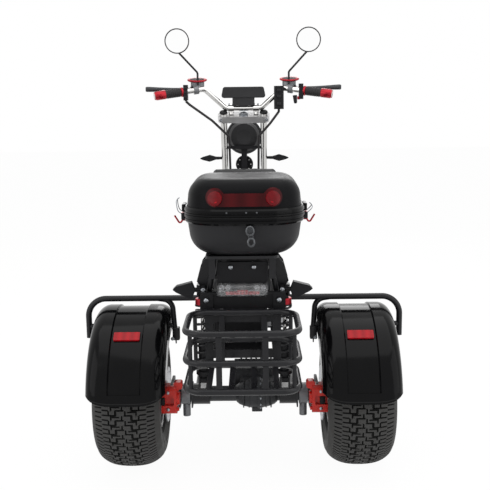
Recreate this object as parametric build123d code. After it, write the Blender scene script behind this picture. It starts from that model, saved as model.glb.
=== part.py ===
from build123d import *
import math
import os

# A motorized trike: two fat rear wheels on a driven axle, one narrow front wheel in a long raked fork.
# Construction frame: X right, Y forward, Z up, millimetres, rear axle above the origin, floor at Z = 0.
# Everything is moved back at the end, so that the written origin is the middle of the footprint.

# Rear wheels
REAR_TYRE_R = 228.5
REAR_TYRE_W = 210.0
REAR_TREAD_W = 184.0
REAR_BEAD_R = 101.6
REAR_BEAD_W = 170.0
REAR_TRACK = 730.0
REAR_HUB_R = 44.0
REAR_FACE_OFFSET = 38.0
# Front wheel
FRONT_TYRE_R = 236.0
FRONT_TYRE_W = 112.0
FRONT_TREAD_W = 90.0
FRONT_BEAD_R = 152.4
FRONT_BEAD_W = 78.0
FRONT_HUB_R = 34.0
WHEELBASE = 1320.0
RIM_FLANGE = 11.0
RIM_WALL = 4.0
SHAFT_GAP = 0.05
# Brakes
DISC_T = 4.0
REAR_DISC_R = 89.0
REAR_DISC_X = REAR_TRACK / 2 - 112.0
FRONT_DISC_R = 105.0
PAD_GAP = 2.0
# Rear axle
AXLE_TUBE_R = 25.0
AXLE_TUBE_END = REAR_DISC_X - 17.0
STUB_R = 15.0
DIFF_X = 40.0
DIFF_R = 48.0
DIFF_W = 134.0
MOTOR_R = 62.0
MOTOR_W = 150.0
MOTOR_Y = 118.0
MOTOR_Z = REAR_TYRE_R + 15.5
SADDLE_X = 192.0
# Swinging arm and shocks
ARM_X = 150.0
ARM_TUBE_R = 15.0
PIVOT_Y = 300.0
PIVOT_Z = REAR_TYRE_R + 33.5
PIVOT_R = 9.0
SHOCK_X = 130.0
SHOCK_SPRING_R = 23.0
SHOCK_TOP_Y = -60.0
SHOCK_TOP_Z = 588.0
SHOCK_FOOT_Y = -66.0
SHOCK_FOOT_Z = REAR_TYRE_R + 71.5
COIL_TURNS = 8
# Main frame
FRAME_TUBE_R = 16.0
CROSS_R = 10.5
LOW_X = 118.0
LOW_Z = 250.0
LOW_FRONT_Y = 930.0
LOW_REAR_Y = 330.0
TAIL_Z = 600.0
TAIL_END_Y = -211.7
TAIL_X = 100.0
SEAT_RAIL_Z = 640.0
SEAT_RAIL_FRONT_Y = 610.0
# Deck and boxes
DECK_T = 8.0
DECK_HALF_W = 178.0
DECK_REAR_Y = 656.0
DECK_FRONT_Y = 905.0
BATTERY_HALF_W = 84.0
BATTERY_REAR_Y = 345.0
BATTERY_FRONT_Y = 590.0
BATTERY_FLOOR_Z = 260.8
BATTERY_TOP_Z = 612.0
# Fender and guard rail
FENDER_R = REAR_TYRE_R + 47.5
FENDER_Z = REAR_TYRE_R + 21.5
FENDER_HALF_W = REAR_TYRE_W / 2 + 15.0
FENDER_X = REAR_TRACK / 2 - 9.0
FENDER_T = 4.0
FENDER_SKIRT = 84.0
FENDER_ROUND = 40.0
CHANNEL_HALF_W = 46.0
CHANNEL_DEPTH = 5.0
FENDER_REAR_DEG = 15.0
FENDER_FRONT_DEG = 148.0
RAIL_Z = FENDER_Z + FENDER_R + 27.0
RAIL_LEG_R = 9.5
RAIL_OUT_X = FENDER_X + FENDER_HALF_W + 27.0
RAIL_IN_X = FENDER_X - FENDER_HALF_W - 13.0
RAIL_LEG_FOOT_Z = RAIL_Z - 129.0
# Basket
BASKET_HALF_W = 153.0
BASKET_POST_R = 6.0
SLAT_X = (-93.0, -31.0, 31.0, 93.0)
BAR_X = 62.0
BASKET_FRONT_Y = -250.0
BASKET_REAR_Y = -478.0
BASKET_TUBE_R = 9.0
BASKET_CORNER_R = 48.0
RING_Z = (408.0, 487.0, 568.0)
# Steering
RAKE = 27.0
FORK_HALF = 84.0
STANCHION_R = 14.0
SLIDER_R = 20.0
SLIDER_LEN = 300.0
FORK_TOP = 975.0
YOKE_LOW = 420.0
YOKE_MID = 600.0
YOKE_T = 26.0
STEER_OFFSET = 40.0
HEAD_R = 24.0
STEM_R = 12.0
# Handlebar
BAR_HOME_Y = 877.36
BAR_HOME_Z = 1104.73
BAR_R = 11.1
CABLE_R = 5.0
GRIP_R = 17.0
MIRROR_R = 50.0
# Top case
CASE_X = 8.0
CASE_HALF_W = 171.0
CASE_LEN = 350.0
CASE_CORNER_R = 118.0
CASE_WALL = 3.5
CASE_MID_Y = -165.0
CASE_FLOOR_Z = 742.0
CASE_SEAM_Z = 858.0
CASE_TOP_Z = 961.0
CASE_FLANGE = 8.0
CASE_FRONT_R = 92.0
CASE_TAPER = 8.0
CASE_FOOT_ROUND = 66.0
SEAM_GAP = 0.5
LID_TAPER = 6.0
LID_ROUND = 54.0
PAD_SINK = 14.0
PAD_HALF_W = 102.0
PAD_TOP_Z = 968.0
PAD_T = 40.0

NODES = {}


def add(name, shape):
    """Keeps a piece under its node name."""
    NODES[name] = shape


def block(x0, x1, y0, y1, z0, z1, fillet_r=0.0, edges=Axis.Z):
    """An axis-aligned block between two corners, its edges along one axis rounded."""
    shape = Pos((x0 + x1) / 2, (y0 + y1) / 2, (z0 + z1) / 2) * Box(abs(x1 - x0), abs(y1 - y0), abs(z1 - z0))
    if fillet_r:
        shape = fillet(shape.edges().filter_by(edges), fillet_r)
    return shape


def rod(start, end, radius, end_radius=None):
    """A round bar, or a cone, from one point to another."""
    a, b = Vector(*start), Vector(*end)
    plane = Plane(origin=a, z_dir=b - a)
    length = (b - a).length
    align = (Align.CENTER, Align.CENTER, Align.MIN)
    if end_radius is None:
        return plane * Cylinder(radius, length, align=align)
    return plane * Cone(radius, end_radius, length, align=align)


def tube(points, radius, bends):
    """A bent round bar through the points, with one bend radius or one for each inner point."""
    path = FilletPolyline(*points, radius=bends)
    start = path @ 0
    return sweep(Plane(origin=start, z_dir=path % 0) * Circle(radius), path=path)


def ring_x(profile_points, x=0.0, y=0.0, z=0.0):
    """A solid turned about the X axis from (x, radius) points, then moved to a hub."""
    face = make_face(Plane.XY * Polyline(*profile_points, close=True))
    return Pos(x, y, z) * revolve(face, Axis.X)


def disc_x(radius, x0, x1, y=0.0, z=0.0):
    """A round bar along X."""
    return rod((min(x0, x1), y, z), (max(x0, x1), y, z), radius)


def both(shape):
    """A piece and its mirror image across the middle plane, as two solids or one."""
    return shape + mirror(shape, Plane.YZ)


def tyre(outer_r, width, tread_w, bead_r, bead_w):
    """A tyre turned about X: crowned tread, round shoulders, bulged sidewalls, open at the rim."""
    crown, mid_r = outer_r - 6.0, bead_r + (outer_r - bead_r) * 0.5
    lip_r = bead_r + RIM_FLANGE + 1.0
    top = ThreePointArc((-tread_w / 2, crown), (0, outer_r), (tread_w / 2, crown))
    right = ThreePointArc((tread_w / 2, crown), (width / 2, mid_r), (bead_w / 2, lip_r))
    left = ThreePointArc((-bead_w / 2, lip_r), (-width / 2, mid_r), (-tread_w / 2, crown))
    foot = Polyline((bead_w / 2, lip_r), (bead_w / 2, bead_r), (-bead_w / 2, bead_r), (-bead_w / 2, lip_r))
    return revolve(make_face([top, right, foot, left]), Axis.X)


def rim(bead_r, bead_w, hub_r, hub_in, hub_out, face_x, bore_r, windows):
    """A wheel rim about X: barrel with two flanges, a windowed face at face_x and a bored hub."""
    half, lip = bead_w / 2, RIM_WALL
    barrel = ring_x([
        (-half - lip, bead_r - lip), (half + lip, bead_r - lip), (half + lip, bead_r + RIM_FLANGE),
        (half, bead_r + RIM_FLANGE), (half, bead_r), (-half, bead_r),
        (-half, bead_r + RIM_FLANGE), (-half - lip, bead_r + RIM_FLANGE),
    ])
    face = ring_x([
        (face_x - 9, hub_r - 6), (face_x + 9, hub_r - 6), (face_x + 4, bead_r - lip + 1), (face_x - 6, bead_r - lip + 1),
    ])
    span = bead_r - lip - hub_r
    hole_r = span * 0.36
    for k in range(windows):
        turn = 360.0 * k / windows
        hole = disc_x(hole_r, face_x - 30, face_x + 30, 0, hub_r + span * 0.52)
        face -= Rot(turn, 0, 0) * hole
    hub = disc_x(hub_r, hub_in, hub_out) - disc_x(bore_r, hub_in - 1, hub_out + 1)
    return barrel + face + hub


def brake_disc(radius, inner_r, x, holes=10):
    """A drilled brake disc about X, centred on x."""
    plate = disc_x(radius, x - DISC_T / 2, x + DISC_T / 2) - disc_x(inner_r, x - DISC_T, x + DISC_T)
    for k in range(holes):
        plate -= Rot(360.0 * k / holes, 0, 0) * disc_x(4.5, x - DISC_T, x + DISC_T, 0, radius - 14)
    return plate


def build_rear_wheels():
    """Tyre, rim and brake disc of each rear wheel, and nothing of the axle."""
    half = REAR_TRACK / 2
    hub_in = REAR_DISC_X - DISC_T / 2 - half
    wheel_tyre = tyre(REAR_TYRE_R, REAR_TYRE_W, REAR_TREAD_W, REAR_BEAD_R, REAR_BEAD_W)
    wheel_rim = rim(REAR_BEAD_R, REAR_BEAD_W, REAR_HUB_R, hub_in, REAR_FACE_OFFSET + 14, REAR_FACE_OFFSET,
                    STUB_R + SHAFT_GAP, 8)
    disc = brake_disc(REAR_DISC_R, REAR_HUB_R, REAR_DISC_X - half)
    for side, sign in (("right", 1), ("left", -1)):
        place = Pos(sign * half, 0, REAR_TYRE_R)
        for name, shape in (("rear_tyre", wheel_tyre), ("rear_rim", wheel_rim), ("rear_disc", disc)):
            handed = shape if sign > 0 else mirror(shape, Plane.YZ)
            add(f"{name}_{side}", place * handed)


def build_rear_axle():
    """Axle tubes, differential and motor casing, stub shafts, caliper plates, saddles and calipers."""
    z = REAR_TYRE_R
    half = DIFF_W / 2
    bowl = [(-half, 27), (-half + 9, 35), (-half * 0.6, DIFF_R - 6), (-half * 0.2, DIFF_R)]
    outline = bowl + [(-x, r) for x, r in reversed(bowl)] + [(half, 0), (-half, 0)]
    casing = ring_x(outline, DIFF_X, 0, z)
    casing += disc_x(DIFF_R + 4, DIFF_X + 2, DIFF_X + 10, 0, z)
    for x in (-44, -26, 30, 46):
        casing += disc_x(DIFF_R - 1, DIFF_X + x - 2, DIFF_X + x + 2, 0, z)
    motor_x = DIFF_X - MOTOR_W / 2
    casing += disc_x(MOTOR_R, motor_x, motor_x + MOTOR_W, MOTOR_Y, MOTOR_Z)
    casing += block(DIFF_X - half + 12, DIFF_X + half - 12, 0, MOTOR_Y, z - 30, z + 40)
    for k in range(7):
        x = motor_x + 20 + 17 * k
        casing += disc_x(MOTOR_R + 5, x, x + 6, MOTOR_Y, MOTOR_Z)
    casing += block(DIFF_X - 17, DIFF_X + 17, -26, 10, z - DIFF_R - 6, z - 20, 4)
    tubes = disc_x(AXLE_TUBE_R, -AXLE_TUBE_END, AXLE_TUBE_END, 0, z)
    stub_end = REAR_TRACK / 2 + REAR_FACE_OFFSET + 26
    tubes += disc_x(STUB_R, -stub_end, stub_end, 0, z)
    plate_x0 = AXLE_TUBE_END - 8
    plate = block(plate_x0, AXLE_TUBE_END, -92, 10, z - 30, z + 62, 8, Axis.X)
    plate += disc_x(40, plate_x0, AXLE_TUBE_END, 0, z)
    for x in (SADDLE_X - 22, SADDLE_X + 18):
        plate += block(x, x + 4, -34, 34, z - 40, z + 34, 10, Axis.X)
    housing = casing + tubes + both(plate)
    saddle = disc_x(AXLE_TUBE_R + 9, SADDLE_X - 14, SADDLE_X + 14, 0, z)
    saddle += rod((SADDLE_X, 0, z - 74), (SADDLE_X, 0, z - 20), 12.5)
    saddle -= disc_x(AXLE_TUBE_R, SADDLE_X - 20, SADDLE_X + 20, 0, z)
    add("axle_saddles", both(saddle))
    gap = DISC_T / 2 + PAD_GAP
    slot = disc_x(REAR_DISC_R + 4, REAR_DISC_X - gap, REAR_DISC_X + gap, 0, z)
    caliper = block(REAR_DISC_X - 39, REAR_DISC_X + 10, -114, -56, z - 28, z + 62, 14, Axis.X)
    caliper -= disc_x(58, REAR_DISC_X - 60, REAR_DISC_X + 20, 0, z)
    caliper += disc_x(20, REAR_DISC_X - 47, REAR_DISC_X - 39, -88, z + 18)
    caliper += block(REAR_DISC_X - 57, REAR_DISC_X - 30, -104, -76, z + 52, z + 76, 8, Axis.Y)
    caliper -= slot
    caliper -= block(REAR_DISC_X - 30, REAR_DISC_X + 20, -120, -104, z + 2, z + 30, 4, Axis.Y)
    caliper -= block(plate_x0, AXLE_TUBE_END, -92, 10, z - 30, z + 62)
    for bolt_z in (z - 16, z + 50):
        caliper += disc_x(6, REAR_DISC_X - 45, REAR_DISC_X - 39, -96, bolt_z)
    add("rear_calipers", both(caliper))
    add("axle_housing", housing)


def build_swingarm():
    """Two arms from the frame pivot to the axle, with a cross tube, shock lugs and the pivot tube."""
    z = REAR_TYRE_R
    arm = rod((ARM_X, 0, z), (ARM_X, PIVOT_Y, PIVOT_Z), ARM_TUBE_R)
    arm += disc_x(AXLE_TUBE_R + 9, ARM_X - 20, ARM_X + 20, 0, z)
    arm += disc_x(20, ARM_X - 20, ARM_X + 14, PIVOT_Y, PIVOT_Z)
    lug_z = SHOCK_FOOT_Z
    lug = block(SHOCK_X - 16, SHOCK_X + 16, SHOCK_FOOT_Y - 14, 20, z + 14, lug_z - 24, 0)
    lug += block(SHOCK_X - 16, SHOCK_X - 11, SHOCK_FOOT_Y - 14, SHOCK_FOOT_Y + 14, lug_z - 24, lug_z + 14)
    lug += block(SHOCK_X + 11, SHOCK_X + 16, SHOCK_FOOT_Y - 14, SHOCK_FOOT_Y + 14, lug_z - 24, lug_z + 14)
    lug += disc_x(AXLE_TUBE_R + 9, SHOCK_X - 16, SHOCK_X + 16, 0, z)
    body = both(arm + lug)
    body += disc_x(CROSS_R, -ARM_X, ARM_X, PIVOT_Y * 0.78, z + (PIVOT_Z - z) * 0.78)
    body -= disc_x(AXLE_TUBE_R, -AXLE_TUBE_END, AXLE_TUBE_END, 0, z)
    body -= disc_x(PIVOT_R, -200, 200, PIVOT_Y, PIVOT_Z)
    add("swingarm", body)


def build_shocks():
    """Coil-over shocks with their coils as a ribbed sleeve, eyes at both ends and a red cap on top."""
    top = Vector(SHOCK_X, SHOCK_TOP_Y, SHOCK_TOP_Z)
    foot = Vector(SHOCK_X, SHOCK_FOOT_Y, SHOCK_FOOT_Z)
    length = (top - foot).length
    plane = Plane(origin=foot, z_dir=top - foot, x_dir=(1, 0, 0))
    coil_low, coil_high = 32.0, length - 48.0
    pitch = (coil_high - coil_low) / COIL_TURNS
    points = [(0, 8), (8, 8), (8, 26), (SHOCK_SPRING_R, 26), (SHOCK_SPRING_R, coil_low)]
    for k in range(COIL_TURNS):
        z = coil_low + pitch * k
        points += [(SHOCK_SPRING_R - 7, z + pitch * 0.12), (SHOCK_SPRING_R - 7, z + pitch * 0.35)]
        points += [(SHOCK_SPRING_R, z + pitch * 0.55), (SHOCK_SPRING_R, z + pitch * 0.92)]
    points += [(SHOCK_SPRING_R, coil_high + 4), (14, coil_high + 4), (14, length - 16),
               (8, length - 16), (8, length - 8), (0, length - 8)]
    body = revolve(make_face(Plane.XZ * Polyline(*points, close=True)), Axis.Z)
    for z in (0, length):
        body += Pos(0, 0, z) * Rot(0, 90, 0) * Cylinder(11, 20)
    placed = plane * body
    cap_low = coil_high + 4.3
    cap = Pos(0, 0, cap_low) * Cylinder(SHOCK_SPRING_R - 1, 22, align=(Align.CENTER, Align.CENTER, Align.MIN))
    cap = fillet(cap.edges(), 3) - Cylinder(14, 1000)
    placed_cap = plane * cap
    add("rear_shocks", both(placed))
    add("shock_caps", both(placed_cap))


def build_frame():
    """The tubular frame: head tube, twin down tubes and lower rails, seat rails and tail."""
    head_low, head_high = fork_point(0, -STEER_OFFSET, YOKE_LOW + YOKE_T), fork_point(0, -STEER_OFFSET, YOKE_MID - YOKE_T)
    head = rod(head_low, head_high, HEAD_R)
    neck = fork_point(0, -STEER_OFFSET, (YOKE_LOW + YOKE_MID) / 2)
    side = tube([
        (22, neck[1] + 6, neck[2]), (70, neck[1] - 90, neck[2] - 110), (LOW_X, LOW_FRONT_Y, LOW_Z),
        (LOW_X, LOW_REAR_Y, LOW_Z), (TAIL_X, LOW_REAR_Y - 90, TAIL_Z), (TAIL_X, TAIL_END_Y, TAIL_Z),
    ], FRAME_TUBE_R, [60, 70, 70, 70])
    seat_rail = tube([
        (TAIL_X, LOW_REAR_Y - 94, TAIL_Z - 4), (TAIL_X, LOW_REAR_Y - 60, SEAT_RAIL_Z),
        (TAIL_X, SEAT_RAIL_FRONT_Y, SEAT_RAIL_Z), (LOW_X, SEAT_RAIL_FRONT_Y + 30, LOW_Z),
    ], FRAME_TUBE_R - 4, [14, 50])
    frame = head + both(side + seat_rail)
    for y, z, x in ((LOW_FRONT_Y - 60, LOW_Z, LOW_X), (LOW_REAR_Y + 60, LOW_Z, LOW_X),
                    (LOW_REAR_Y + 230, LOW_Z, LOW_X),
                    (SEAT_RAIL_FRONT_Y - 60, SEAT_RAIL_Z, TAIL_X), (TAIL_END_Y + 30, TAIL_Z, TAIL_X)):
        frame += disc_x(CROSS_R, -x, x, y, z)
    gusset = rod((0, neck[1] - 10, neck[2] + 30), (0, neck[1] - 80, neck[2] - 130), 14)
    frame += gusset + disc_x(CROSS_R, -78, 78, neck[1] - 84, neck[2] - 130)
    frame -= rod(fork_point(0, -STEER_OFFSET, YOKE_LOW - 60), fork_point(0, -STEER_OFFSET, YOKE_MID + 60), STEM_R + 0.05)
    ear = block(LOW_X, ARM_X - 21, PIVOT_Y - 22, LOW_REAR_Y + 10, LOW_Z - 14, PIVOT_Z + 18, 4, Axis.X)
    frame += both(ear)
    frame += disc_x(PIVOT_R - 0.05, -ARM_X - 20, ARM_X + 20, PIVOT_Y, PIVOT_Z)
    y = SHOCK_TOP_Y
    for x0, x1 in ((SHOCK_X - 16, SHOCK_X - 10.5), (SHOCK_X + 10.5, SHOCK_X + 16)):
        frame += both(block(x0, x1, y - 14, y + 14, SHOCK_TOP_Z - 14, TAIL_Z + 11))
    frame += both(block(TAIL_X, SHOCK_X + 16, y - 14, y + 14, TAIL_Z + 1, TAIL_Z + 11))
    add("main_frame", frame)


def fork_point(x, y, along):
    """A point of the steering group's own frame, in which the fork is upright, as a point of the trike."""
    a = math.radians(RAKE)
    return (x, WHEELBASE + y * math.cos(a) - along * math.sin(a),
            FRONT_TYRE_R + y * math.sin(a) + along * math.cos(a))


def fork_place():
    """The placement that leans the upright fork back by its rake, over the front axle."""
    return Pos(0, WHEELBASE, FRONT_TYRE_R) * Rot(RAKE, 0, 0)


def build_fenders():
    """Flared shells over the rear wheels, each with a channel pressed along its middle, and reflectors."""
    r, half, t = FENDER_R, FENDER_HALF_W, FENDER_T
    rnd, low, ch = FENDER_ROUND, FENDER_R - FENDER_SKIRT, CHANNEL_HALF_W
    knee = rnd * (1 - math.sqrt(0.5))
    outer = [
        Line((-half, low), (-half, r - rnd)),
        ThreePointArc((-half, r - rnd), (-half + knee, r - knee), (-half + rnd, r)),
        Polyline((-half + rnd, r), (-ch - 4, r), (-ch, r - CHANNEL_DEPTH), (ch, r - CHANNEL_DEPTH),
                 (ch + 4, r), (half - rnd, r)),
        ThreePointArc((half - rnd, r), (half - knee, r - knee), (half, r - rnd)),
        Line((half, r - rnd), (half, low)),
    ]
    inner_r, ir = r - t, rnd - t
    iknee = ir * (1 - math.sqrt(0.5))
    ih = half - t
    inner = [
        Line((half, low), (ih, low)),
        Line((ih, low), (ih, inner_r - ir)),
        ThreePointArc((ih, inner_r - ir), (ih - iknee, inner_r - iknee), (ih - ir, inner_r)),
        Polyline((ih - ir, inner_r), (ch + 6, inner_r), (ch + 2, inner_r - CHANNEL_DEPTH),
                 (-ch - 2, inner_r - CHANNEL_DEPTH), (-ch - 6, inner_r), (-ih + ir, inner_r)),
        ThreePointArc((-ih + ir, inner_r), (-ih + iknee, inner_r - iknee), (-ih, inner_r - ir)),
        Line((-ih, inner_r - ir), (-ih, low)),
        Line((-ih, low), (-half, low)),
    ]
    section = make_face(outer + inner)
    sweep_deg = FENDER_FRONT_DEG - FENDER_REAR_DEG
    shell = revolve(section, Axis.X, revolution_arc=sweep_deg)
    probe = shell.center()
    start = math.degrees(math.atan2(probe.Z, probe.Y))
    middle = 180 - (FENDER_REAR_DEG + FENDER_FRONT_DEG) / 2
    shell = Pos(FENDER_X, 0, FENDER_Z) * Rot(middle - start, 0, 0) * shell
    add("fender_right", shell)
    add("fender_left", mirror(shell, Plane.YZ))
    tilt = math.radians(180 - 55)
    refl = Pos(0, 0, 0) * Box(80, 6, 30)
    refl = fillet(refl.edges().filter_by(Axis.Y), 3)
    deg = 54.0
    rr = r - CHANNEL_DEPTH + 3.3
    place = Pos(FENDER_X, -rr * math.cos(math.radians(deg)), FENDER_Z + rr * math.sin(math.radians(deg)))
    refl = place * Rot(-deg, 0, 0) * refl
    add("fender_reflectors", both(refl))


def build_guard_rails():
    """A hoop over each fender from the frame plate out and down to the fender's two sides."""
    zr, xo, xi = RAIL_Z, RAIL_OUT_X, RAIL_IN_X
    hoop = tube([(TAIL_X + 14, 0, zr), (xo, 0, zr), (xo, 0, RAIL_LEG_FOOT_Z)], RAIL_LEG_R, [58])
    hoop += tube([(xi + 62, 0, zr), (xi + 8, 0, zr - 8), (xi, 0, RAIL_LEG_FOOT_Z)], RAIL_LEG_R - 1, [34])
    foot_z = FENDER_Z + FENDER_R - FENDER_SKIRT + 20
    hoop += rod((FENDER_X + FENDER_HALF_W + 0.3, 0, foot_z), (xo, 0, foot_z), 8)
    hoop += rod((xi, 0, foot_z), (FENDER_X - FENDER_HALF_W - 0.3, 0, foot_z), 8)
    plate = block(TAIL_X + 10, TAIL_X + 18, -22, 22, zr - 16, TAIL_Z - 4)
    hoop += plate
    hoop -= rod((TAIL_X, -400, TAIL_Z), (TAIL_X, 200, TAIL_Z), FRAME_TUBE_R)
    add("guard_rails", both(hoop))


def loop(half_w, y0, y1, z, radius, corner):
    """A closed round-bar loop with rounded corners, flat at one height."""
    face = Rectangle(2 * half_w, abs(y1 - y0))
    face = fillet(face.vertices(), corner)
    wire = (Pos(0, (y0 + y1) / 2, z) * face).wire()
    start = wire @ 0
    return sweep(Plane(origin=start, z_dir=wire % 0) * Circle(radius), path=wire)


def build_basket():
    """Open basket of three round-bar rings, flat upright bars and floor slats, and the tail uprights."""
    y0, y1, r = BASKET_FRONT_Y, BASKET_REAR_Y, BASKET_TUBE_R
    body = None
    for z in RING_Z:
        ring = loop(BASKET_HALF_W, y0, y1, z, r, BASKET_CORNER_R)
        body = ring if body is None else body + ring
    low, high = RING_Z[0], RING_Z[2]
    for x in (-BAR_X, BAR_X):
        for y in (y0, y1):
            body += block(x - 8, x + 8, y - 2, y + 2, low, high)
    turn = BASKET_CORNER_R * math.sqrt(0.5)
    inner_x, inner_y = BASKET_HALF_W - BASKET_CORNER_R, BASKET_CORNER_R
    for x in (-inner_x - turn, inner_x + turn):
        for y in (y0 - inner_y + turn, y1 + inner_y - turn):
            body += rod((x, y, low), (x, y, high), BASKET_POST_R)
    for x in SLAT_X:
        body += block(x - 8, x + 8, y1, y0, low - 7, low - 3)
    add("basket", body)
    front = y0 + r + 0.3
    stay = block(TAIL_X - 12, TAIL_X + 12, front, front + 6, RING_Z[0] - 10, 571)
    stay += block(TAIL_X - 12, TAIL_X + 12, front, TAIL_END_Y + 30, 563, 571)
    stay += block(TAIL_X - 12, TAIL_X + 12, TAIL_END_Y + 18, TAIL_END_Y + 30, 563, TAIL_Z)
    stay -= rod((TAIL_X, -400, TAIL_Z), (TAIL_X, 0, TAIL_Z), FRAME_TUBE_R)
    cross = block(-TAIL_X, TAIL_X, front, front + 6, RING_Z[0] + 20, RING_Z[0] + 44)
    cross += block(-TAIL_X, TAIL_X, front, front + 6, 536, 560)
    add("rear_stays", both(stay) + cross)


def build_tail():
    """Tail panel with its recess, clear lamp, arrow-shaped signals, plate panel and its two bolts."""
    front = BASKET_FRONT_Y + 22
    panel = block(-126, 126, front, front + 16, 572, 622)
    panel -= block(-88, 90, front - 1, front + 8, 560, 616)
    panel += block(-40, 40, front + 14, front + 20, 590, 700)
    add("tail_panel", panel)
    lamp = block(-75, 75, -258, front - 0.3, 616, 652)
    lamp = fillet(lamp.edges().filter_by(Axis.Y), 10)
    lamp = fillet(lamp.faces().sort_by(Axis.Y)[0].edges(), 5)
    lamp -= block(-200, 200, front - 3, 0, 600, 622.3)
    add("tail_lamp", lamp)
    lamp_back = block(-60, 60, front, front + 15, 622.3, 648)
    plate = block(-75, 75, front - 6, front, 652.3, 714, 10, Axis.Y)
    plate += lamp_back
    plate += block(-40, 40, front, front + 14, 640, 700)
    NODES["tail_panel"] -= block(-41, 41, front - 1, front + 30, 622, 800)
    add("plate_panel", plate)
    bolts = None
    for x in (-34, 34):
        bolt = rod((x, front - 10, 700), (x, front - 6, 700), 6)
        bolts = bolt if bolts is None else bolts + bolt
    for x in (-107, 107):
        bolts += rod((x, front - 4, 600), (x, front, 600), 6)
    add("tail_bolts", bolts)
    arrow = make_face(Plane.XZ * Polyline((150, 600), (196, 622), (206, 630), (196, 640), (150, 652), (140, 626), close=True))
    arrow = Pos(0, -222, 0) * extrude(arrow, 26, dir=(0, 1, 0))
    stem = rod((118, -200, 626), (144, -204, 626), 7)
    stem += block(112, 122, -211, -184, 596, 636)
    stem -= rod((TAIL_X, -400, TAIL_Z), (TAIL_X, 0, TAIL_Z), FRAME_TUBE_R)
    add("rear_signals", both(arrow + stem))


def rounded(half_w, length, rear_r, front_r, z):
    """A flat outline of the case, with its own corner radius at the rear and at the front."""
    face = Rectangle(2 * half_w, length)
    face = fillet(face.vertices().sort_by(Axis.Y)[:2], rear_r)
    face = fillet(face.vertices().sort_by(Axis.Y)[-2:], front_r)
    return Pos(CASE_X, CASE_MID_Y, z) * face


def case_form(grow, seam_z, height, taper, edge_round):
    """Half a case as a solid: the seam outline drawn up or down with a taper, its far edge rounded."""
    inset = 5 - grow
    outline = rounded(CASE_HALF_W - inset, CASE_LEN - 2 * inset, CASE_CORNER_R - inset, CASE_FRONT_R - inset, seam_z)
    form = extrude(outline, height, taper=taper)
    far = form.faces().sort_by(Axis.Z)[-1 if height > 0 else 0]
    return fillet(far.edges(), edge_round + grow)


def case_bowl(grow):
    """The solid form of the case's lower half, grown or shrunk by a wall."""
    top = CASE_SEAM_Z - CASE_FLANGE
    return case_form(grow, top, CASE_FLOOR_Z - grow - top, CASE_TAPER, CASE_FOOT_ROUND)


def lid_form(grow):
    """The solid form of the lid, grown or shrunk by a wall, leaning in to a rounded top."""
    low = CASE_SEAM_Z + CASE_FLANGE
    return case_form(grow, low, CASE_TOP_Z + grow - low, LID_TAPER, LID_ROUND)


def build_case():
    """Hollow luggage case: bowl with flange, lid with flange, rear lens, side latches and hooks."""
    flange_low = extrude(rounded(CASE_HALF_W, CASE_LEN, CASE_CORNER_R, CASE_FRONT_R, CASE_SEAM_Z - CASE_FLANGE),
                         CASE_FLANGE)
    hollow = case_bowl(-CASE_WALL)
    mouth = extrude(rounded(CASE_HALF_W - 5 - CASE_WALL, CASE_LEN - 10 - 2 * CASE_WALL, CASE_CORNER_R - CASE_WALL,
                            CASE_FRONT_R - CASE_WALL, CASE_SEAM_Z - CASE_FLANGE), CASE_FLANGE + 1)
    base = case_bowl(0) + flange_low - hollow - mouth
    add("case_base", base)
    seam = CASE_SEAM_Z + SEAM_GAP
    flange = extrude(rounded(CASE_HALF_W, CASE_LEN, CASE_CORNER_R, CASE_FRONT_R, seam), CASE_FLANGE - SEAM_GAP)
    mouth = extrude(rounded(CASE_HALF_W - 5 - CASE_WALL, CASE_LEN - 10 - 2 * CASE_WALL, CASE_CORNER_R - CASE_WALL,
                            CASE_FRONT_R - CASE_WALL, seam - 1), CASE_FLANGE + 1)
    lid = lid_form(0) + flange - lid_form(-CASE_WALL) - mouth
    add("case_lid", lid)
    rear = CASE_MID_Y - CASE_LEN / 2
    lens_z = CASE_SEAM_Z + 55
    shape = block(CASE_X - 80, CASE_X + 80, rear - 20, CASE_MID_Y, lens_z - 25, lens_z + 11)
    for x in (CASE_X - 80, CASE_X + 80):
        shape += rod((x, rear - 20, lens_z), (x, CASE_MID_Y, lens_z), 26)
    add("lid_lens", (lid_form(3.5) - lid_form(0.3)) & shape)
    lock_z = CASE_SEAM_Z - 36
    lock = rod((CASE_X + 16, rear - 2, lock_z), (CASE_X + 16, rear + 40, lock_z), 11)
    add("case_lock", (lock - case_bowl(0)).solids().sort_by(Axis.Y)[0])
    hook = tube([(180, -182, 838), (190, -182, 820), (206, -182, 846)], 2.6, [5])
    hook += block(171, 183, -210, -154, 834, 857.5)
    add("case_hooks", Pos(CASE_X, 0, 0) * both(hook))


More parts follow.
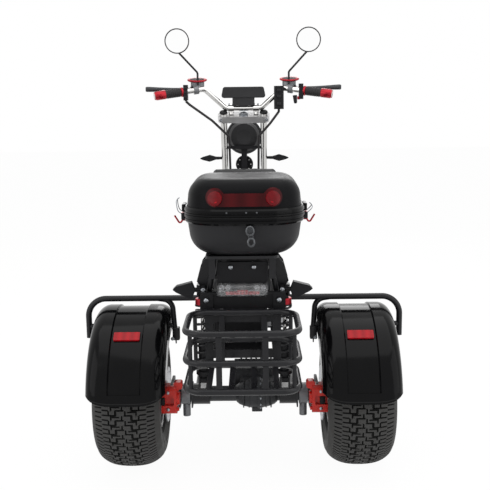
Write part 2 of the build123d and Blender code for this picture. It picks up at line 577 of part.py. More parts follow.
def build_rack():
    """Rack under the case: a plate on four struts from the tail rails."""
    rack = block(-104, 104, -290, -30, CASE_FLOOR_Z - 8.3, CASE_FLOOR_Z - 0.3, 20)
    for y0, y1 in ((-250, -180), (-70, -110)):
        rack -= block(-70, 70, y0, y1, CASE_FLOOR_Z - 20, CASE_FLOOR_Z + 5, 8)
    for y in (-60, -180):
        rack += both(rod((TAIL_X, y, TAIL_Z + FRAME_TUBE_R - 1), (TAIL_X - 20, y, CASE_FLOOR_Z - 8), 9))
    gusset = make_face(Plane.XZ * Polyline((TAIL_X + 12, TAIL_Z + 4), (TAIL_X + 38, TAIL_Z + 44),
                                           (TAIL_X + 24, TAIL_Z + 96), (96, CASE_FLOOR_Z - 8), (78, CASE_FLOOR_Z - 8),
                                           (TAIL_X - 6, TAIL_Z + 14), close=True))
    for y in (-170, -100):
        rack += both(extrude(Pos(0, y, 0) * gusset, 5, dir=(0, 1, 0)))
    rack += both(block(78, 97, -252, -247, 668, CASE_FLOOR_Z - 0.3, 6, Axis.Y))
    rack += both(block(78, 97, -252, -229, 728, CASE_FLOOR_Z - 0.3))
    rack -= both(rod((TAIL_X, -400, TAIL_Z), (TAIL_X, 200, TAIL_Z), FRAME_TUBE_R))
    add("case_rack", rack)


def build_body():
    """Battery box, footboard with pegs, the two-step seat and the backrest pad."""
    battery = block(-BATTERY_HALF_W, BATTERY_HALF_W, BATTERY_REAR_Y, BATTERY_FRONT_Y, BATTERY_FLOOR_Z, BATTERY_TOP_Z, 14)
    battery -= both(block(BATTERY_HALF_W - 4, BATTERY_HALF_W + 10, BATTERY_REAR_Y + 30, BATTERY_FRONT_Y - 30,
                          BATTERY_FLOOR_Z + 40, BATTERY_TOP_Z - 120, 10, Axis.X))
    add("battery_box", battery)
    deck_low = LOW_Z + FRAME_TUBE_R
    deck = block(-DECK_HALF_W, DECK_HALF_W, DECK_REAR_Y, DECK_FRONT_Y, deck_low + 0.3, deck_low + DECK_T, 30)
    deck -= both(block(LOW_X - 22, LOW_X + 22, LOW_FRONT_Y - 84, DECK_FRONT_Y + 10, LOW_Z, LOW_Z + 60))
    add("footboard", deck)
    seat_low = SEAT_RAIL_Z + FRAME_TUBE_R - 4
    rider = block(-150, 150, 250, 640, seat_low + 0.3, seat_low + 84)
    rider = fillet(rider.edges().filter_by(Axis.Z), 80)
    rider = fillet(rider.faces().sort_by(Axis.Z)[-1].edges(), 28)
    rear = block(-120, 120, 30, 244, seat_low + 0.3, seat_low + 118)
    rear = fillet(rear.edges().filter_by(Axis.Z), 50)
    rear = fillet(rear.faces().sort_by(Axis.Z)[-1].edges(), 24)
    add("seats", rider + rear)
    top = SEAT_RAIL_Z + FRAME_TUBE_R - 4
    pan = block(-86, 86, 40, SEAT_RAIL_FRONT_Y - 80, top - 5, top)
    pan += block(-TAIL_X - 12, TAIL_X + 12, 40, 222, top - 5, top)
    for y in (50, 190):
        pan += both(block(TAIL_X - 12, TAIL_X + 12, y, y + 24, TAIL_Z, top))
    pan -= both(rod((TAIL_X, -400, TAIL_Z), (TAIL_X, 400, TAIL_Z), FRAME_TUBE_R))
    add("seat_pan", pan)
    front = CASE_MID_Y + CASE_LEN / 2 - PAD_SINK
    pad = block(-PAD_HALF_W, PAD_HALF_W, front, front + PAD_T, CASE_SEAM_Z + 10, PAD_TOP_Z)
    pad = fillet(pad.edges().filter_by(Axis.Y), 26)
    pad = fillet(pad.faces().sort_by(Axis.Y)[-1].edges(), 15)
    add("backrest_pad", Pos(CASE_X, 0, 0) * pad - lid_form(0.3))


def build_front_wheel():
    """Front tyre, rim and brake disc about the front axle."""
    place = Pos(0, WHEELBASE, FRONT_TYRE_R)
    add("front_tyre", place * tyre(FRONT_TYRE_R, FRONT_TYRE_W, FRONT_TREAD_W, FRONT_BEAD_R, FRONT_BEAD_W))
    wheel = rim(FRONT_BEAD_R, FRONT_BEAD_W, FRONT_HUB_R, -56, 56, 0, 9 + SHAFT_GAP, 6)
    add("front_rim", place * wheel)
    disc = brake_disc(FRONT_DISC_R, FRONT_HUB_R, -54)
    add("front_disc", place * disc)


def build_fork():
    """Sliders with the wheel axle, bright tubes, three yokes, front fender and front caliper."""
    put = fork_place()
    up = (Align.CENTER, Align.CENTER, Align.MIN)
    slider = Pos(FORK_HALF, 0, 30) * Cylinder(SLIDER_R, SLIDER_LEN, align=up)
    slider += disc_x(16, FORK_HALF - SLIDER_R, FORK_HALF + SLIDER_R)
    slider += block(FORK_HALF - 12, FORK_HALF + 12, -16, 16, 0, 60)
    slider -= Pos(FORK_HALF, 0, 100) * Cylinder(STANCHION_R, SLIDER_LEN, align=up)
    lowers = both(slider) + disc_x(9, -FORK_HALF, FORK_HALF)
    add("fork_lowers", put * lowers)
    tubes = both(Pos(FORK_HALF, 0, 100.3) * Cylinder(STANCHION_R - 0.05, FORK_TOP + 36 - 100.3, align=up))
    add("fork_tubes", put * tubes)
    yokes = None
    for low in (YOKE_LOW, YOKE_MID - YOKE_T):
        yoke = block(-FORK_HALF - 22, FORK_HALF + 22, -STEER_OFFSET - 24, 22, low, low + YOKE_T, 18)
        yoke -= both(Pos(FORK_HALF, 0, low - 1) * Cylinder(STANCHION_R, YOKE_T + 2, align=up))
        yokes = yoke if yokes is None else yokes + yoke
    yokes += Pos(0, -STEER_OFFSET, YOKE_LOW) * Cylinder(STEM_R, YOKE_MID - YOKE_LOW, align=up)
    top = block(-FORK_HALF - 24, FORK_HALF + 24, -24, 24, FORK_TOP, FORK_TOP + 28, 20)
    top -= both(Pos(FORK_HALF, 0, FORK_TOP - 1) * Cylinder(STANCHION_R, YOKE_T + 4, align=up))
    add("yokes", put * (yokes + top))
    low, high = FRONT_TYRE_R + 10, FRONT_TYRE_R + 26
    fender = revolve(make_face(Polyline((-62, low), (-54, high), (54, high), (62, low), (58.5, low), (51, high - 3.5),
                                        (-51, high - 3.5), (-58.5, low), close=True)), Axis.X, revolution_arc=130)
    centre = fender.center()
    turn = 90 - math.degrees(math.atan2(centre.Z, centre.Y))
    fender = Rot(turn, 0, 0) * fender
    legs = None
    for side in (-1, 1):
        leg = block(side * 57, side * 76, -13, 13, high - 8, high + 22) - Pos(side * FORK_HALF, 0, 0) * Cylinder(SLIDER_R, 900)
        legs = leg if legs is None else legs + leg
    add("front_fender", put * (fender + legs - lowers))
    caliper = block(-74, -40, 70, 118, -24, 60, 8, Axis.X)
    caliper -= disc_x(FRONT_DISC_R + 4, -58, -50)
    caliper += block(-78, -60, -8, 100, 50, 64)
    caliper -= lowers
    add("front_caliper", put * caliper)


def build_bars():
    """Handlebar with risers, grips, switch boxes, levers, reservoirs, mirrors and the dash."""
    head = fork_point(0, 0, FORK_TOP)
    lift = Pos(0, head[1] - BAR_HOME_Y, head[2] - BAR_HOME_Z)

    def put(name, shape):
        """Keep a piece, moved from the place it is drawn at to where the fork's top is."""
        add(name, lift * shape)

    def on_fork(x, y, along):
        """A point of the fork as it is seen before the bar group is moved."""
        point = fork_point(x, y, along)
        return (point[0], point[1] - lift.position.Y, point[2] - lift.position.Z)

    bar = tube([(0, 866, 1154), (74, 866, 1156), (162, 852, 1236), (362, 792, 1208)], BAR_R, [26, 26])
    clamp_low = on_fork(52, 2, FORK_TOP + 28.3)
    riser = rod(clamp_low, (52, 866, 1154), 9)
    riser += rod((52 - 12, 866, 1154), (52 + 12, 866, 1154), BAR_R + 5)
    handlebar = both(bar + riser) - lift.inverse() * NODES["yokes"]
    put("handlebar", handlebar)
    start, end = Vector(162, 852, 1236), Vector(362, 792, 1208)
    axis = (end - start).normalized()

    def on_bar(x):
        """The point of the bar's straight end part at this distance from the middle plane."""
        return start + axis * ((x - start.X) / axis.X)

    grip = rod(on_bar(252), on_bar(350), GRIP_R) - rod(on_bar(240), on_bar(360), BAR_R + SHAFT_GAP)
    put("grips", both(grip))
    ends = rod(on_bar(350.3), on_bar(362), GRIP_R - 1) - rod(on_bar(340), on_bar(370), BAR_R + SHAFT_GAP)
    put("grip_ends", both(ends))
    box = block(228, 246, 806, 850, 1190, 1252, 6)
    box -= rod(on_bar(200), on_bar(300), BAR_R + SHAFT_GAP)
    left_box = mirror(box, Plane.YZ)
    right_box = block(127, 166, 812, 874, 1150, 1244, 8)
    right_box -= handlebar
    put("switch_boxes", left_box + box + right_box)
    tank = Pos(190, 862, 1255) * scale(Cylinder(1, 18), (28, 15, 1))
    tank += rod(on_bar(186), on_bar(204), BAR_R + 6) + block(184, 206, 836, 856, 1226, 1250)
    tank -= rod(on_bar(150), on_bar(250), BAR_R + SHAFT_GAP)
    tank -= rod((188, 846, 1200), (188, 846, 1400), 4.2)
    put("brake_tanks", both(tank))
    cap = Pos(190, 862, 1267.4) * scale(Cylinder(1, 6), (30, 17, 1))
    cap -= rod((188, 846, 1200), (188, 846, 1400), 5)
    put("tank_caps", both(cap))
    lever = rod((216, 872, 1232), (300, 872, 1232), 6)
    lever += rod((300, 872, 1232), (396, 846, 1236), 6) + Pos(396, 846, 1236) * Sphere(8)
    lever += block(206, 222, 858, 878, 1224, 1245.7, 5)
    put("brake_levers", both(lever))
    stem = tube([(188, 846, 1232), (188, 846, 1302), (264, 828, 1384)], 4.2, [14])
    stem += rod((264, 828, 1382), (267, 828, 1400), 4.2)
    stem -= rod(on_bar(150), on_bar(250), BAR_R + SHAFT_GAP)
    bowl_at = Pos(267, 820, 1427)
    bowl = bowl_at * Rot(90, 0, 0) * (Cylinder(MIRROR_R, 18) - Pos(0, 0, 7) * Cylinder(MIRROR_R - 4, 10))
    back = bowl.faces().sort_by(Axis.Y)[-1]
    bowl = fillet(back.edges(), 7)
    put("mirrors", both(stem + bowl))
    glass = bowl_at * Pos(0, -5.6, 0) * Rot(90, 0, 0) * Cylinder(MIRROR_R - 4.3, 3)
    put("mirror_glass", both(glass))
    dash = make_face(Plane.XZ * Polyline((-93, 1198), (93, 1198), (84, 1243), (-84, 1243), close=True))
    dash = extrude(Pos(0, 845, 0) * dash, 34, dir=(0, 1, 0))
    dash = fillet(dash.edges().filter_by(Axis.Y), 10)
    dash = fillet(dash.edges().group_by(Axis.Y)[0], 4)
    mount = block(-46, 46, 850, 872, 1166, 1198, 4) + block(-20, 20, 856, 876, 1160, 1170)
    mount -= handlebar
    put("dash_panel", dash + mount)
    bowl = revolve(make_face(Plane.XY * Polyline((0, 0), (30, 2), (56, 22), (66, 56), (68, 100), (64, 104), (0, 104),
                                                 close=True)), Axis.Y)
    bowl = Pos(0, 922, 1034) * bowl
    put("headlight", bowl)
    glass = Pos(0, 1026.3, 1034) * Rot(-90, 0, 0) * Cylinder(62, 6, align=(Align.CENTER, Align.CENTER, Align.MIN))
    put("headlight_lens", glass)
    arm = block(-84, 84, 924, 946, 984, 996) + block(-12, 12, 940, 985, 900, 996)
    arm -= bowl
    horn = Pos(0, 999, 914) * Rot(90, 0, 0) * Cylinder(38, 26)
    horn = fillet(horn.edges(), 5)
    horn += rod((0, 980, 914), (0, 986, 914), 16)
    arm -= both(rod(on_fork(FORK_HALF, 0, 100), on_fork(FORK_HALF, 0, 1100), STANCHION_R))
    put("horn", horn + arm)
    leaf = make_face(Plane.XZ * Polyline((108, 938), (122, 938), (150, 929), (178, 936), (194, 943), (178, 950),
                                         (150, 958), (122, 950), (108, 950), close=True))
    leaf = extrude(Pos(0, 946, 0) * leaf, 24, dir=(0, 1, 0))
    leaf = fillet(leaf.edges().filter_by(Axis.Y), 2)
    leaf += rod((FORK_HALF, 959, 944), (112, 958, 944), 6)
    leaf -= rod(on_fork(FORK_HALF, 0, 100), on_fork(FORK_HALF, 0, 1100), STANCHION_R)
    put("front_signals", both(leaf))
    low = on_fork(60, -36, YOKE_MID + 0.3)
    cable = tube([(146, 838, 1156), (146, 838, 1140), on_fork(110, -46, 985), on_fork(62, -47, 925),
                  on_fork(60, -36, 660), low], CABLE_R, [6, 22, 26, 26]) - right_box
    far = tube([(-237, 828, 1186), (-222, 830, 1172), on_fork(-130, -46, 1000), on_fork(-62, -47, 925),
                on_fork(-60, -36, 660), (-low[0], low[1], low[2])], CABLE_R, [6, 22, 26, 26])
    far += rod((-237, 828, 1186), (-237, 828, 1192), CABLE_R)
    cable += far - left_box
    put("control_cables", cable)


def main():
    build_rear_wheels()
    build_rear_axle()
    build_swingarm()
    build_shocks()
    build_frame()
    build_fenders()
    build_guard_rails()
    build_basket()
    build_tail()
    build_case()
    build_rack()
    build_body()
    build_front_wheel()
    build_fork()
    build_bars()
    os.makedirs("parts", exist_ok=True)
    length_front = WHEELBASE + FRONT_TYRE_R
    length_rear = BASKET_REAR_Y - BASKET_TUBE_R
    middle = (length_front + length_rear) / 2
    for name, shape in NODES.items():
        export_step(Pos(0, -middle, 0) * shape, f"parts/{name}.step")


main()
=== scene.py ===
"""A three-wheeled electric trike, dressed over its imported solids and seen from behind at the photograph's angle."""
from __future__ import annotations

import logging
import math
from dataclasses import dataclass
from enum import Enum
from typing import Iterable, Sequence

import bmesh
import bpy
from mathutils import Matrix, Vector
from mathutils.bvhtree import BVHTree


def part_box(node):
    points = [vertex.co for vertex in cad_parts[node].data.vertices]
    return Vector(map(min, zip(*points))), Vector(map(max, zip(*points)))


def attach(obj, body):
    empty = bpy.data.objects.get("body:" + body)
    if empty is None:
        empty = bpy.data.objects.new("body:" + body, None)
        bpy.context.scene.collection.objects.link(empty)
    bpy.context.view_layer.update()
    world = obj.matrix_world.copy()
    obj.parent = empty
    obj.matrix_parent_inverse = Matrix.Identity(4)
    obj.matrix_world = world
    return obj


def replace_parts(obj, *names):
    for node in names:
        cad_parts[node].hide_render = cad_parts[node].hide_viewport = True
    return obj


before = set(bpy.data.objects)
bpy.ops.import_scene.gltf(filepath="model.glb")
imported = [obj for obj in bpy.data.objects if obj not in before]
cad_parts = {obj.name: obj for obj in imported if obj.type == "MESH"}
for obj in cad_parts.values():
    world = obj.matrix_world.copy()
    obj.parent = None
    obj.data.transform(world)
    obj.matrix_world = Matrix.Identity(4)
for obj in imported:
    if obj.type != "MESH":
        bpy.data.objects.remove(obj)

log = logging.getLogger("trike")

Pair = tuple[float, float]
Point = tuple[float, float, float]
Loop = list[Vector]
Mesh = bmesh.types.BMesh
Thing = bpy.types.Object
Tree = bpy.types.NodeTree
Node = bpy.types.Node
Socket = bpy.types.NodeSocket

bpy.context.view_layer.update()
MM = 0.001
# How far the drawing's rear axle lies behind the middle of the footprint, in metres.
AXLE_Y = -0.5345
# Heights of the rear and the front axle, and the distance between them, in millimetres.
REAR_Z, FRONT_Z, WHEELBASE = 228.5, 236.0, 1320.0
SMOOTH_DEG = 38.0
WIRE_CORNERS = 8
# Noise seldom leaves this range, so the roughness is spread over it and never falls to a perfect mirror.
NOISE_LOW, NOISE_HIGH, LEAST_ROUGHNESS = 0.3, 0.7, 0.02
BUMP_STRENGTH = 0.6
# How much finer a wave texture is than its scale says.
WAVE_FINER = 20.0
SIDES = (-1, 1)
RIGHT, AHEAD, BACK, UP = (Vector(way) for way in ((1, 0, 0), (0, 1, 0), (0, -1, 0), (0, 0, 1)))


class Body(str, Enum):
    """The moving bodies that a piece can ride on."""

    CHASSIS = "chassis"
    LID = "case_lid"
    STEERING = "steering"
    FRONT_WHEEL = "front_wheel"
    WHEEL_LEFT = "wheel_left"
    WHEEL_RIGHT = "wheel_right"


# Finishes


def linear(colour: str) -> tuple[float, float, float, float]:
    """Turns an sRGB hex colour into linear light.

    Args:
        colour: The colour as six hex digits after a hash sign.

    Returns:
        Linear red, green, blue and an alpha of 1.
    """
    parts = [int(colour[i : i + 2], 16) / 255.0 for i in (1, 3, 5)]
    low = [c / 12.92 if c <= 0.04045 else ((c + 0.055) / 1.055) ** 2.4 for c in parts]
    return (low[0], low[1], low[2], 1.0)


def per_metre(size_mm: float) -> float:
    """The texture scale at which one feature is this many millimetres across."""
    return 1000.0 / size_mm


def cleared(owner: bpy.types.Material | bpy.types.World) -> Tree:
    """The owner's node tree, switched on and emptied."""
    owner.use_nodes = True
    owner.node_tree.nodes.clear()
    return owner.node_tree


def add_node(tree: Tree, kind: str, links: dict | None = None, **settings) -> Node:
    """Adds one shader node.

    Args:
        tree: The node tree it goes into.
        kind: The node's type name.
        links: Socket name or index to an output socket to link, or to a value to set.
        settings: Properties of the node itself.

    Returns:
        The new node.
    """
    node = tree.nodes.new(kind)
    for name, value in settings.items():
        setattr(node, name, value)
    for socket, value in (links or {}).items():
        if isinstance(value, Socket):
            tree.links.new(value, node.inputs[socket])
        else:
            node.inputs[socket].default_value = value
    return node


@dataclass(frozen=True)
class Finish:
    """What every finish shares: a colour that drifts, a grain that roughens it and a fine relief.

    The slot is the record's material slot that the finish belongs to.
    """

    name: str
    slot: str
    colour: str
    shade: str
    roughness: float
    rough_spread: float = 0.08
    drift_mm: float = 90.0
    grain_mm: float = 1.5
    relief_mm: float = 0.05
    metallic: float = 0.0
    ior: float = 1.5

    def material(self) -> bpy.types.Material:
        """The material of this finish, made once.

        Returns:
            The material, with its colour, roughness and relief linked.
        """
        known = bpy.data.materials.get(self.name)
        if known:
            return known
        material = bpy.data.materials.new(self.name)
        tree = cleared(material)
        shader = add_node(tree, "ShaderNodeBsdfPrincipled", {"Metallic": self.metallic, "IOR": self.ior})
        add_node(tree, "ShaderNodeOutputMaterial", {"Surface": shader.outputs[0]})
        self.dress(tree, shader, add_node(tree, "ShaderNodeTexCoord").outputs["Object"])
        return material

    def noise(self, tree: Tree, where: Socket, size_mm: float, detail: float) -> Socket:
        """Cloudy noise from 0 to 1, its clouds this many millimetres across."""
        return add_node(tree, "ShaderNodeTexNoise", {
            "Vector": where, "Scale": per_metre(size_mm), "Detail": detail}).outputs["Fac"]

    def drift(self, tree: Tree, where: Socket) -> Socket:
        """A slow patchiness from 0 to 1, as handling and dust leave."""
        return self.noise(tree, where, self.drift_mm, 4.0)

    def grain(self, tree: Tree, where: Socket) -> Socket:
        """The surface's fine pattern from 0 to 1."""
        return self.noise(tree, where, self.grain_mm, 3.0)

    def dress(self, tree: Tree, shader: Node, where: Socket) -> None:
        """Drives colour and roughness by the drift, and the relief by the grain.

        Args:
            tree: The material's nodes.
            shader: Its principled shader.
            where: The object coordinates.
        """
        drift = self.drift(tree, where)
        self.drive(tree, shader, drift, drift, self.grain(tree, where))

    def drive(self, tree: Tree, shader: Node, tint: Socket, rough: Socket, height: Socket) -> None:
        """Links colour, roughness and bump.

        Args:
            tree: The material's nodes.
            shader: Its principled shader.
            tint: What mixes the shade into the colour, from 0 to 1.
            rough: What varies the roughness, from 0 to 1.
            height: What raises the surface, from 0 to 1.
        """
        mix = add_node(tree, "ShaderNodeMix", {
            "Factor": tint, "A": linear(self.colour), "B": linear(self.shade)}, data_type="RGBA")
        spread = add_node(tree, "ShaderNodeMapRange", {
            "Value": rough, "From Min": NOISE_LOW, "From Max": NOISE_HIGH,
            "To Min": max(LEAST_ROUGHNESS, self.roughness - self.rough_spread),
            "To Max": self.roughness + self.rough_spread})
        bump = add_node(tree, "ShaderNodeBump", {
            "Height": height, "Strength": BUMP_STRENGTH, "Distance": self.relief_mm * MM})
        for output, name in ((mix.outputs["Result"], "Base Color"), (spread.outputs[0], "Roughness"),
                             (bump.outputs[0], "Normal")):
            tree.links.new(output, shader.inputs[name])


@dataclass(frozen=True)
class Pebbled(Finish):
    """A moulded or embossed skin: rounded cells with fine creases between them."""

    def grain(self, tree: Tree, where: Socket) -> Socket:
        """Rounded cells of the mould's texture."""
        return add_node(tree, "ShaderNodeTexVoronoi", {
            "Vector": where, "Scale": per_metre(self.grain_mm)}, feature="SMOOTH_F1").outputs["Distance"]


@dataclass(frozen=True)
class Brushed(Finish):
    """Metal drawn or brushed along X: streaks many times longer than wide."""

    stretch: float = 30.0

    def grain(self, tree: Tree, where: Socket) -> Socket:
        """Long streaks."""
        moved = add_node(tree, "ShaderNodeMapping", {"Vector": where, "Scale": (1.0 / self.stretch, 1.0, 1.0)})
        return self.noise(tree, moved.outputs[0], self.grain_mm, 2.0)


@dataclass(frozen=True)
class Lens(Finish):
    """Clear or tinted moulding with prism ribs inside."""

    rib_mm: float = 5.0
    opacity: float = 1.0

    def dress(self, tree: Tree, shader: Node, where: Socket) -> None:
        """Drives the tint and the relief by the ribs, and sets how much shows through."""
        shader.inputs["Alpha"].default_value = self.opacity
        ribs = add_node(tree, "ShaderNodeTexWave", {
            "Vector": where, "Scale": per_metre(self.rib_mm) / WAVE_FINER}, bands_direction="X").outputs["Fac"]
        self.drive(tree, shader, ribs, self.drift(tree, where), ribs)


# Polyester powder coat over steel tube, baked: deep black with a slight orange peel that softens reflections.
FRAME_BLACK = Finish("powder_coated_steel_tube", "black_frame", "#141416", "#1c1c1f", 0.3, grain_mm=3.0, ior=1.33)
# ABS moulded and lacquered: deep black, near to a mirror at its edges, with faint polishing haze.
GLOSS_SHELL = Finish("lacquered_abs_shell", "gloss_shell", "#050506", "#09090a", 0.14, 0.05, grain_mm=14.0,
                     relief_mm=0.03, ior=1.2)
# ABS lid, lacquered but handled for years: black with a broad soft sheen.
LID_SHELL = Finish("satin_lacquered_abs_lid", "gloss_shell", "#0b0b0c", "#111113", 0.36, grain_mm=10.0,
                   relief_mm=0.02, ior=1.13)
# Polypropylene moulded in a spark-eroded tool: dark grey, pebbled, with a broad soft sheen.
GRAINED_SHELL = Pebbled("spark_grained_polypropylene", "matte_shell", "#19191b", "#202022", 0.5, grain_mm=1.8,
                        relief_mm=0.08, ior=1.3)
# ABS moulded with a fine grain: black and dull, for switch boxes and tail plates.
FINE_SHELL = Pebbled("fine_grained_abs", "matte_shell", "#121214", "#19191b", 0.42, grain_mm=1.2, relief_mm=0.04,
                     ior=1.25)
# Steel bowl in a matt stoved paint: dark grey, evenly dull, with a wide soft shine down its middle.
STOVED_BOWL = Finish("stoved_matt_paint", "matte_shell", "#2e2e2f", "#373738", 0.5, relief_mm=0.04, ior=1.12)
# Expanded vinyl over foam, embossed with a leather grain: black with a dull sheen on the crowns.
VINYL = Pebbled("embossed_seat_vinyl", "soft_vinyl", "#151516", "#1e1e1f", 0.5, grain_mm=2.2, relief_mm=0.12, ior=1.35)
# Carbon-black tyre rubber, moulded: dark grey and chalky on the lugs, a little browner where dust holds.
TYRE_RUBBER = Finish("moulded_tyre_rubber", "tyre", "#303030", "#3b3a38", 0.72, 0.1, drift_mm=35.0, grain_mm=1.2,
                     relief_mm=0.08, ior=1.4)
# The same rubber down in the grooves, darkened to nearly black as painted shade.
GROOVE_PAINTED_SHADE = Finish("groove_rubber_painted_shade", "tyre", "#0c0c0c", "#121211", 0.8, 0.05, drift_mm=35.0, ior=1.3)
# Nitrile rubber grips, moulded: soft black, barely shining.
GRIP_RUBBER = Finish("moulded_grip_rubber", "rubber", "#1c1a1b", "#262425", 0.6, grain_mm=0.9, relief_mm=0.06,
                     ior=1.35)
# Nickel and chromium plate over polished steel tube: a bright mirror with a slightly warm drift.
CHROME = Finish("chromium_plated_tube", "bright", "#d2d1cf", "#bfbebc", 0.1, 0.04, metallic=1.0, relief_mm=0.01)
# Die-cast aluminium, shot-blasted and clear coated: pale silver with a sandy grain.
CAST_SILVER = Finish("blasted_cast_aluminium", "grey_cast", "#d3d2d2", "#bcbcbd", 0.36, grain_mm=0.9, metallic=0.85)
# Aluminium extrusion for the footboard, anodised dark: even, satin, drawn along its length.
DECK_ALLOY = Brushed("anodised_deck_aluminium", "deck", "#4c4d50", "#404144", 0.38, grain_mm=0.8, relief_mm=0.03,
                     metallic=1.0)
# Iron axle casing, sand cast and painted thin: dark grey, rough as fine sand.
CAST_CASING = Finish("sand_cast_axle_casing", "dark_cast", "#232426", "#303133", 0.5, 0.12, drift_mm=30.0,
                     grain_mm=1.8, relief_mm=0.2, metallic=0.3, ior=1.4)
# Cast lever metal, tumbled and painted: dark grey with a low shine.
LEVER_GREY = Finish("painted_cast_lever", "dark_cast", "#282a2c", "#323437", 0.34, grain_mm=1.2, relief_mm=0.04,
                    metallic=0.3)
# Painted steel saddles and fluid tanks: mid grey, dulled by dust.
DUSTY_STEEL = Finish("dusted_painted_steel", "steel", "#77787a", "#5c5e61", 0.45, 0.1, drift_mm=20.0, metallic=0.6)
# Nickel-plated key steel, handled: mid grey, dulled by fingers, with small glints.
KEY_STEEL = Finish("handled_key_steel", "steel", "#616264", "#434548", 0.36, 0.14, drift_mm=5.0, metallic=1.0,
                   relief_mm=0.03)
# Zinc-plated steel, for discs and fasteners: cool silver, a little cloudy.
ZINC = Finish("zinc_plated_fastener", "steel", "#a3a6aa", "#85898e", 0.32, 0.1, drift_mm=6.0, metallic=1.0,
              relief_mm=0.02)
# Red enamel sprayed over cast calipers: saturated, glossy, darker in small random patches.
CALIPER_RED = Finish("sprayed_caliper_enamel", "red_paint", "#c82a1e", "#a91c16", 0.3, drift_mm=18.0, grain_mm=5.0,
                     relief_mm=0.02, ior=1.35)
# Red anodised aluminium: a metallic red whose highlights stay pinkish.
ANODISED_RED = Finish("red_anodised_aluminium", "red_paint", "#a81c28", "#861420", 0.26, grain_mm=2.0,
                      relief_mm=0.01, metallic=0.7)
# Acrylic reflector moulding in red, with prism ribs inside: an even bright red.
REFLECTOR_RED = Lens("moulded_red_reflector", "red_lens", "#a3131c", "#8c0f18", 0.2, 0.04, relief_mm=0.1, ior=1.25,
                     rib_mm=4.0)
# Smoked red acrylic lamp cover, polished: dark wine red, wet looking.
SMOKED_RED = Lens("smoked_red_acrylic", "red_lens", "#33070a", "#420a0e", 0.14, 0.04, relief_mm=0.02, ior=1.2,
                  rib_mm=9.0)
# The two bowls of the smoked cover: red seen through less plastic.
BOWL_RED = Finish("red_lamp_bowl", "red_lens", "#6e0d14", "#4a080d", 0.2, drift_mm=14.0, relief_mm=0.02, ior=1.25)
# Red diodes and their lenses in the tail lamp: a milky pinkish red.
LIT_RED = Finish("red_diode_lenses", "red_lens", "#b8434a", "#8c1d26", 0.24, drift_mm=12.0, relief_mm=0.02, ior=1.25)
# Clear acrylic lamp cover with prism ribs: grey glints over what is behind it.
CLEAR_LENS = Lens("moulded_clear_lamp_cover", "clear_lens", "#c9c9ca", "#a9aaac", 0.08, 0.03, relief_mm=0.04,
                  rib_mm=7.0, opacity=0.14)
# Silvered float glass: a clean mirror.
MIRROR = Finish("silvered_mirror_glass", "mirror", "#ffffff", "#fbfcfc", 0.03, 0.01, metallic=1.0, relief_mm=0.0)
# Nickel reflector paint behind lamp covers: dull silver.
LAMP_SILVER = Finish("lamp_reflector_plate", "bright", "#8d8d90", "#a9a9ac", 0.25, metallic=1.0, relief_mm=0.01)

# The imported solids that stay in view, under the finish that they take.
NODES_IN = {
    FRAME_BLACK: ("main_frame", "seat_pan", "guard_rails", "basket", "rear_stays", "case_rack", "swingarm", "mirrors"),
    FINE_SHELL: ("battery_box", "tail_panel", "plate_panel", "rear_signals", "switch_boxes", "horn", "front_signals"),
    CAST_SILVER: ("fork_lowers", "yokes", "front_rim", "rear_rim_left", "rear_rim_right"),
    ZINC: ("tail_bolts", "front_disc", "rear_disc_left", "rear_disc_right"),
    GLOSS_SHELL: ("fender_left", "fender_right", "front_fender"),
    ANODISED_RED: ("case_hooks", "shock_caps", "grip_ends"),
    CALIPER_RED: ("rear_calipers", "front_caliper"), DUSTY_STEEL: ("axle_saddles", "brake_tanks"),
    CHROME: ("fork_tubes", "handlebar"), GRIP_RUBBER: ("grips", "control_cables"),
    STOVED_BOWL: ("dash_panel", "headlight"), CLEAR_LENS: ("headlight_lens",), MIRROR: ("mirror_glass",),
    DECK_ALLOY: ("footboard",), CAST_CASING: ("axle_housing",), REFLECTOR_RED: ("fender_reflectors",),
    GRAINED_SHELL: ("case_base",), KEY_STEEL: ("case_lock",), LID_SHELL: ("case_lid",), SMOKED_RED: ("lid_lens",),
}


# Meshes


def at(x: float, y: float, z: float) -> Vector:
    """A place given in the drawing's millimetres from the rear axle, in metres in the shared frame."""
    return Vector((x * MM, y * MM + AXLE_Y, z * MM))


def spokes(count: int) -> list[Pair]:
    """The cosine and the sine of evenly spaced angles, once round."""
    return [(math.cos(math.tau * k / count), math.sin(math.tau * k / count)) for k in range(count)]


def piece(name: str, mesh: Mesh, finish: Finish, body: Body = Body.CHASSIS, smooth_deg: float = SMOOTH_DEG,
          instead_of: str = "") -> Thing:
    """Makes an object of a mesh, gives it its finish and lets it ride on a body.

    Args:
        name: The piece's name.
        mesh: The mesh, in metres in the shared frame. It is freed.
        finish: The finish that it takes.
        body: The body that it moves with.
        smooth_deg: Edges sharper than this stay sharp.
        instead_of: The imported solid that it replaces, if any.

    Returns:
        The new object.
    """
    bmesh.ops.recalc_face_normals(mesh, faces=mesh.faces)
    data = bpy.data.meshes.new(name)
    mesh.to_mesh(data)
    mesh.free()
    data.materials.append(finish.material())
    data.shade_smooth()
    data.set_sharp_from_angle(angle=math.radians(smooth_deg))
    made = bpy.data.objects.new(name, data)
    bpy.context.collection.objects.link(made)
    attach(made, body.value)
    if instead_of:
        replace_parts(made, instead_of)
    log.info("%s rides on %s, %d faces", name, body.value, len(data.polygons))
    return made


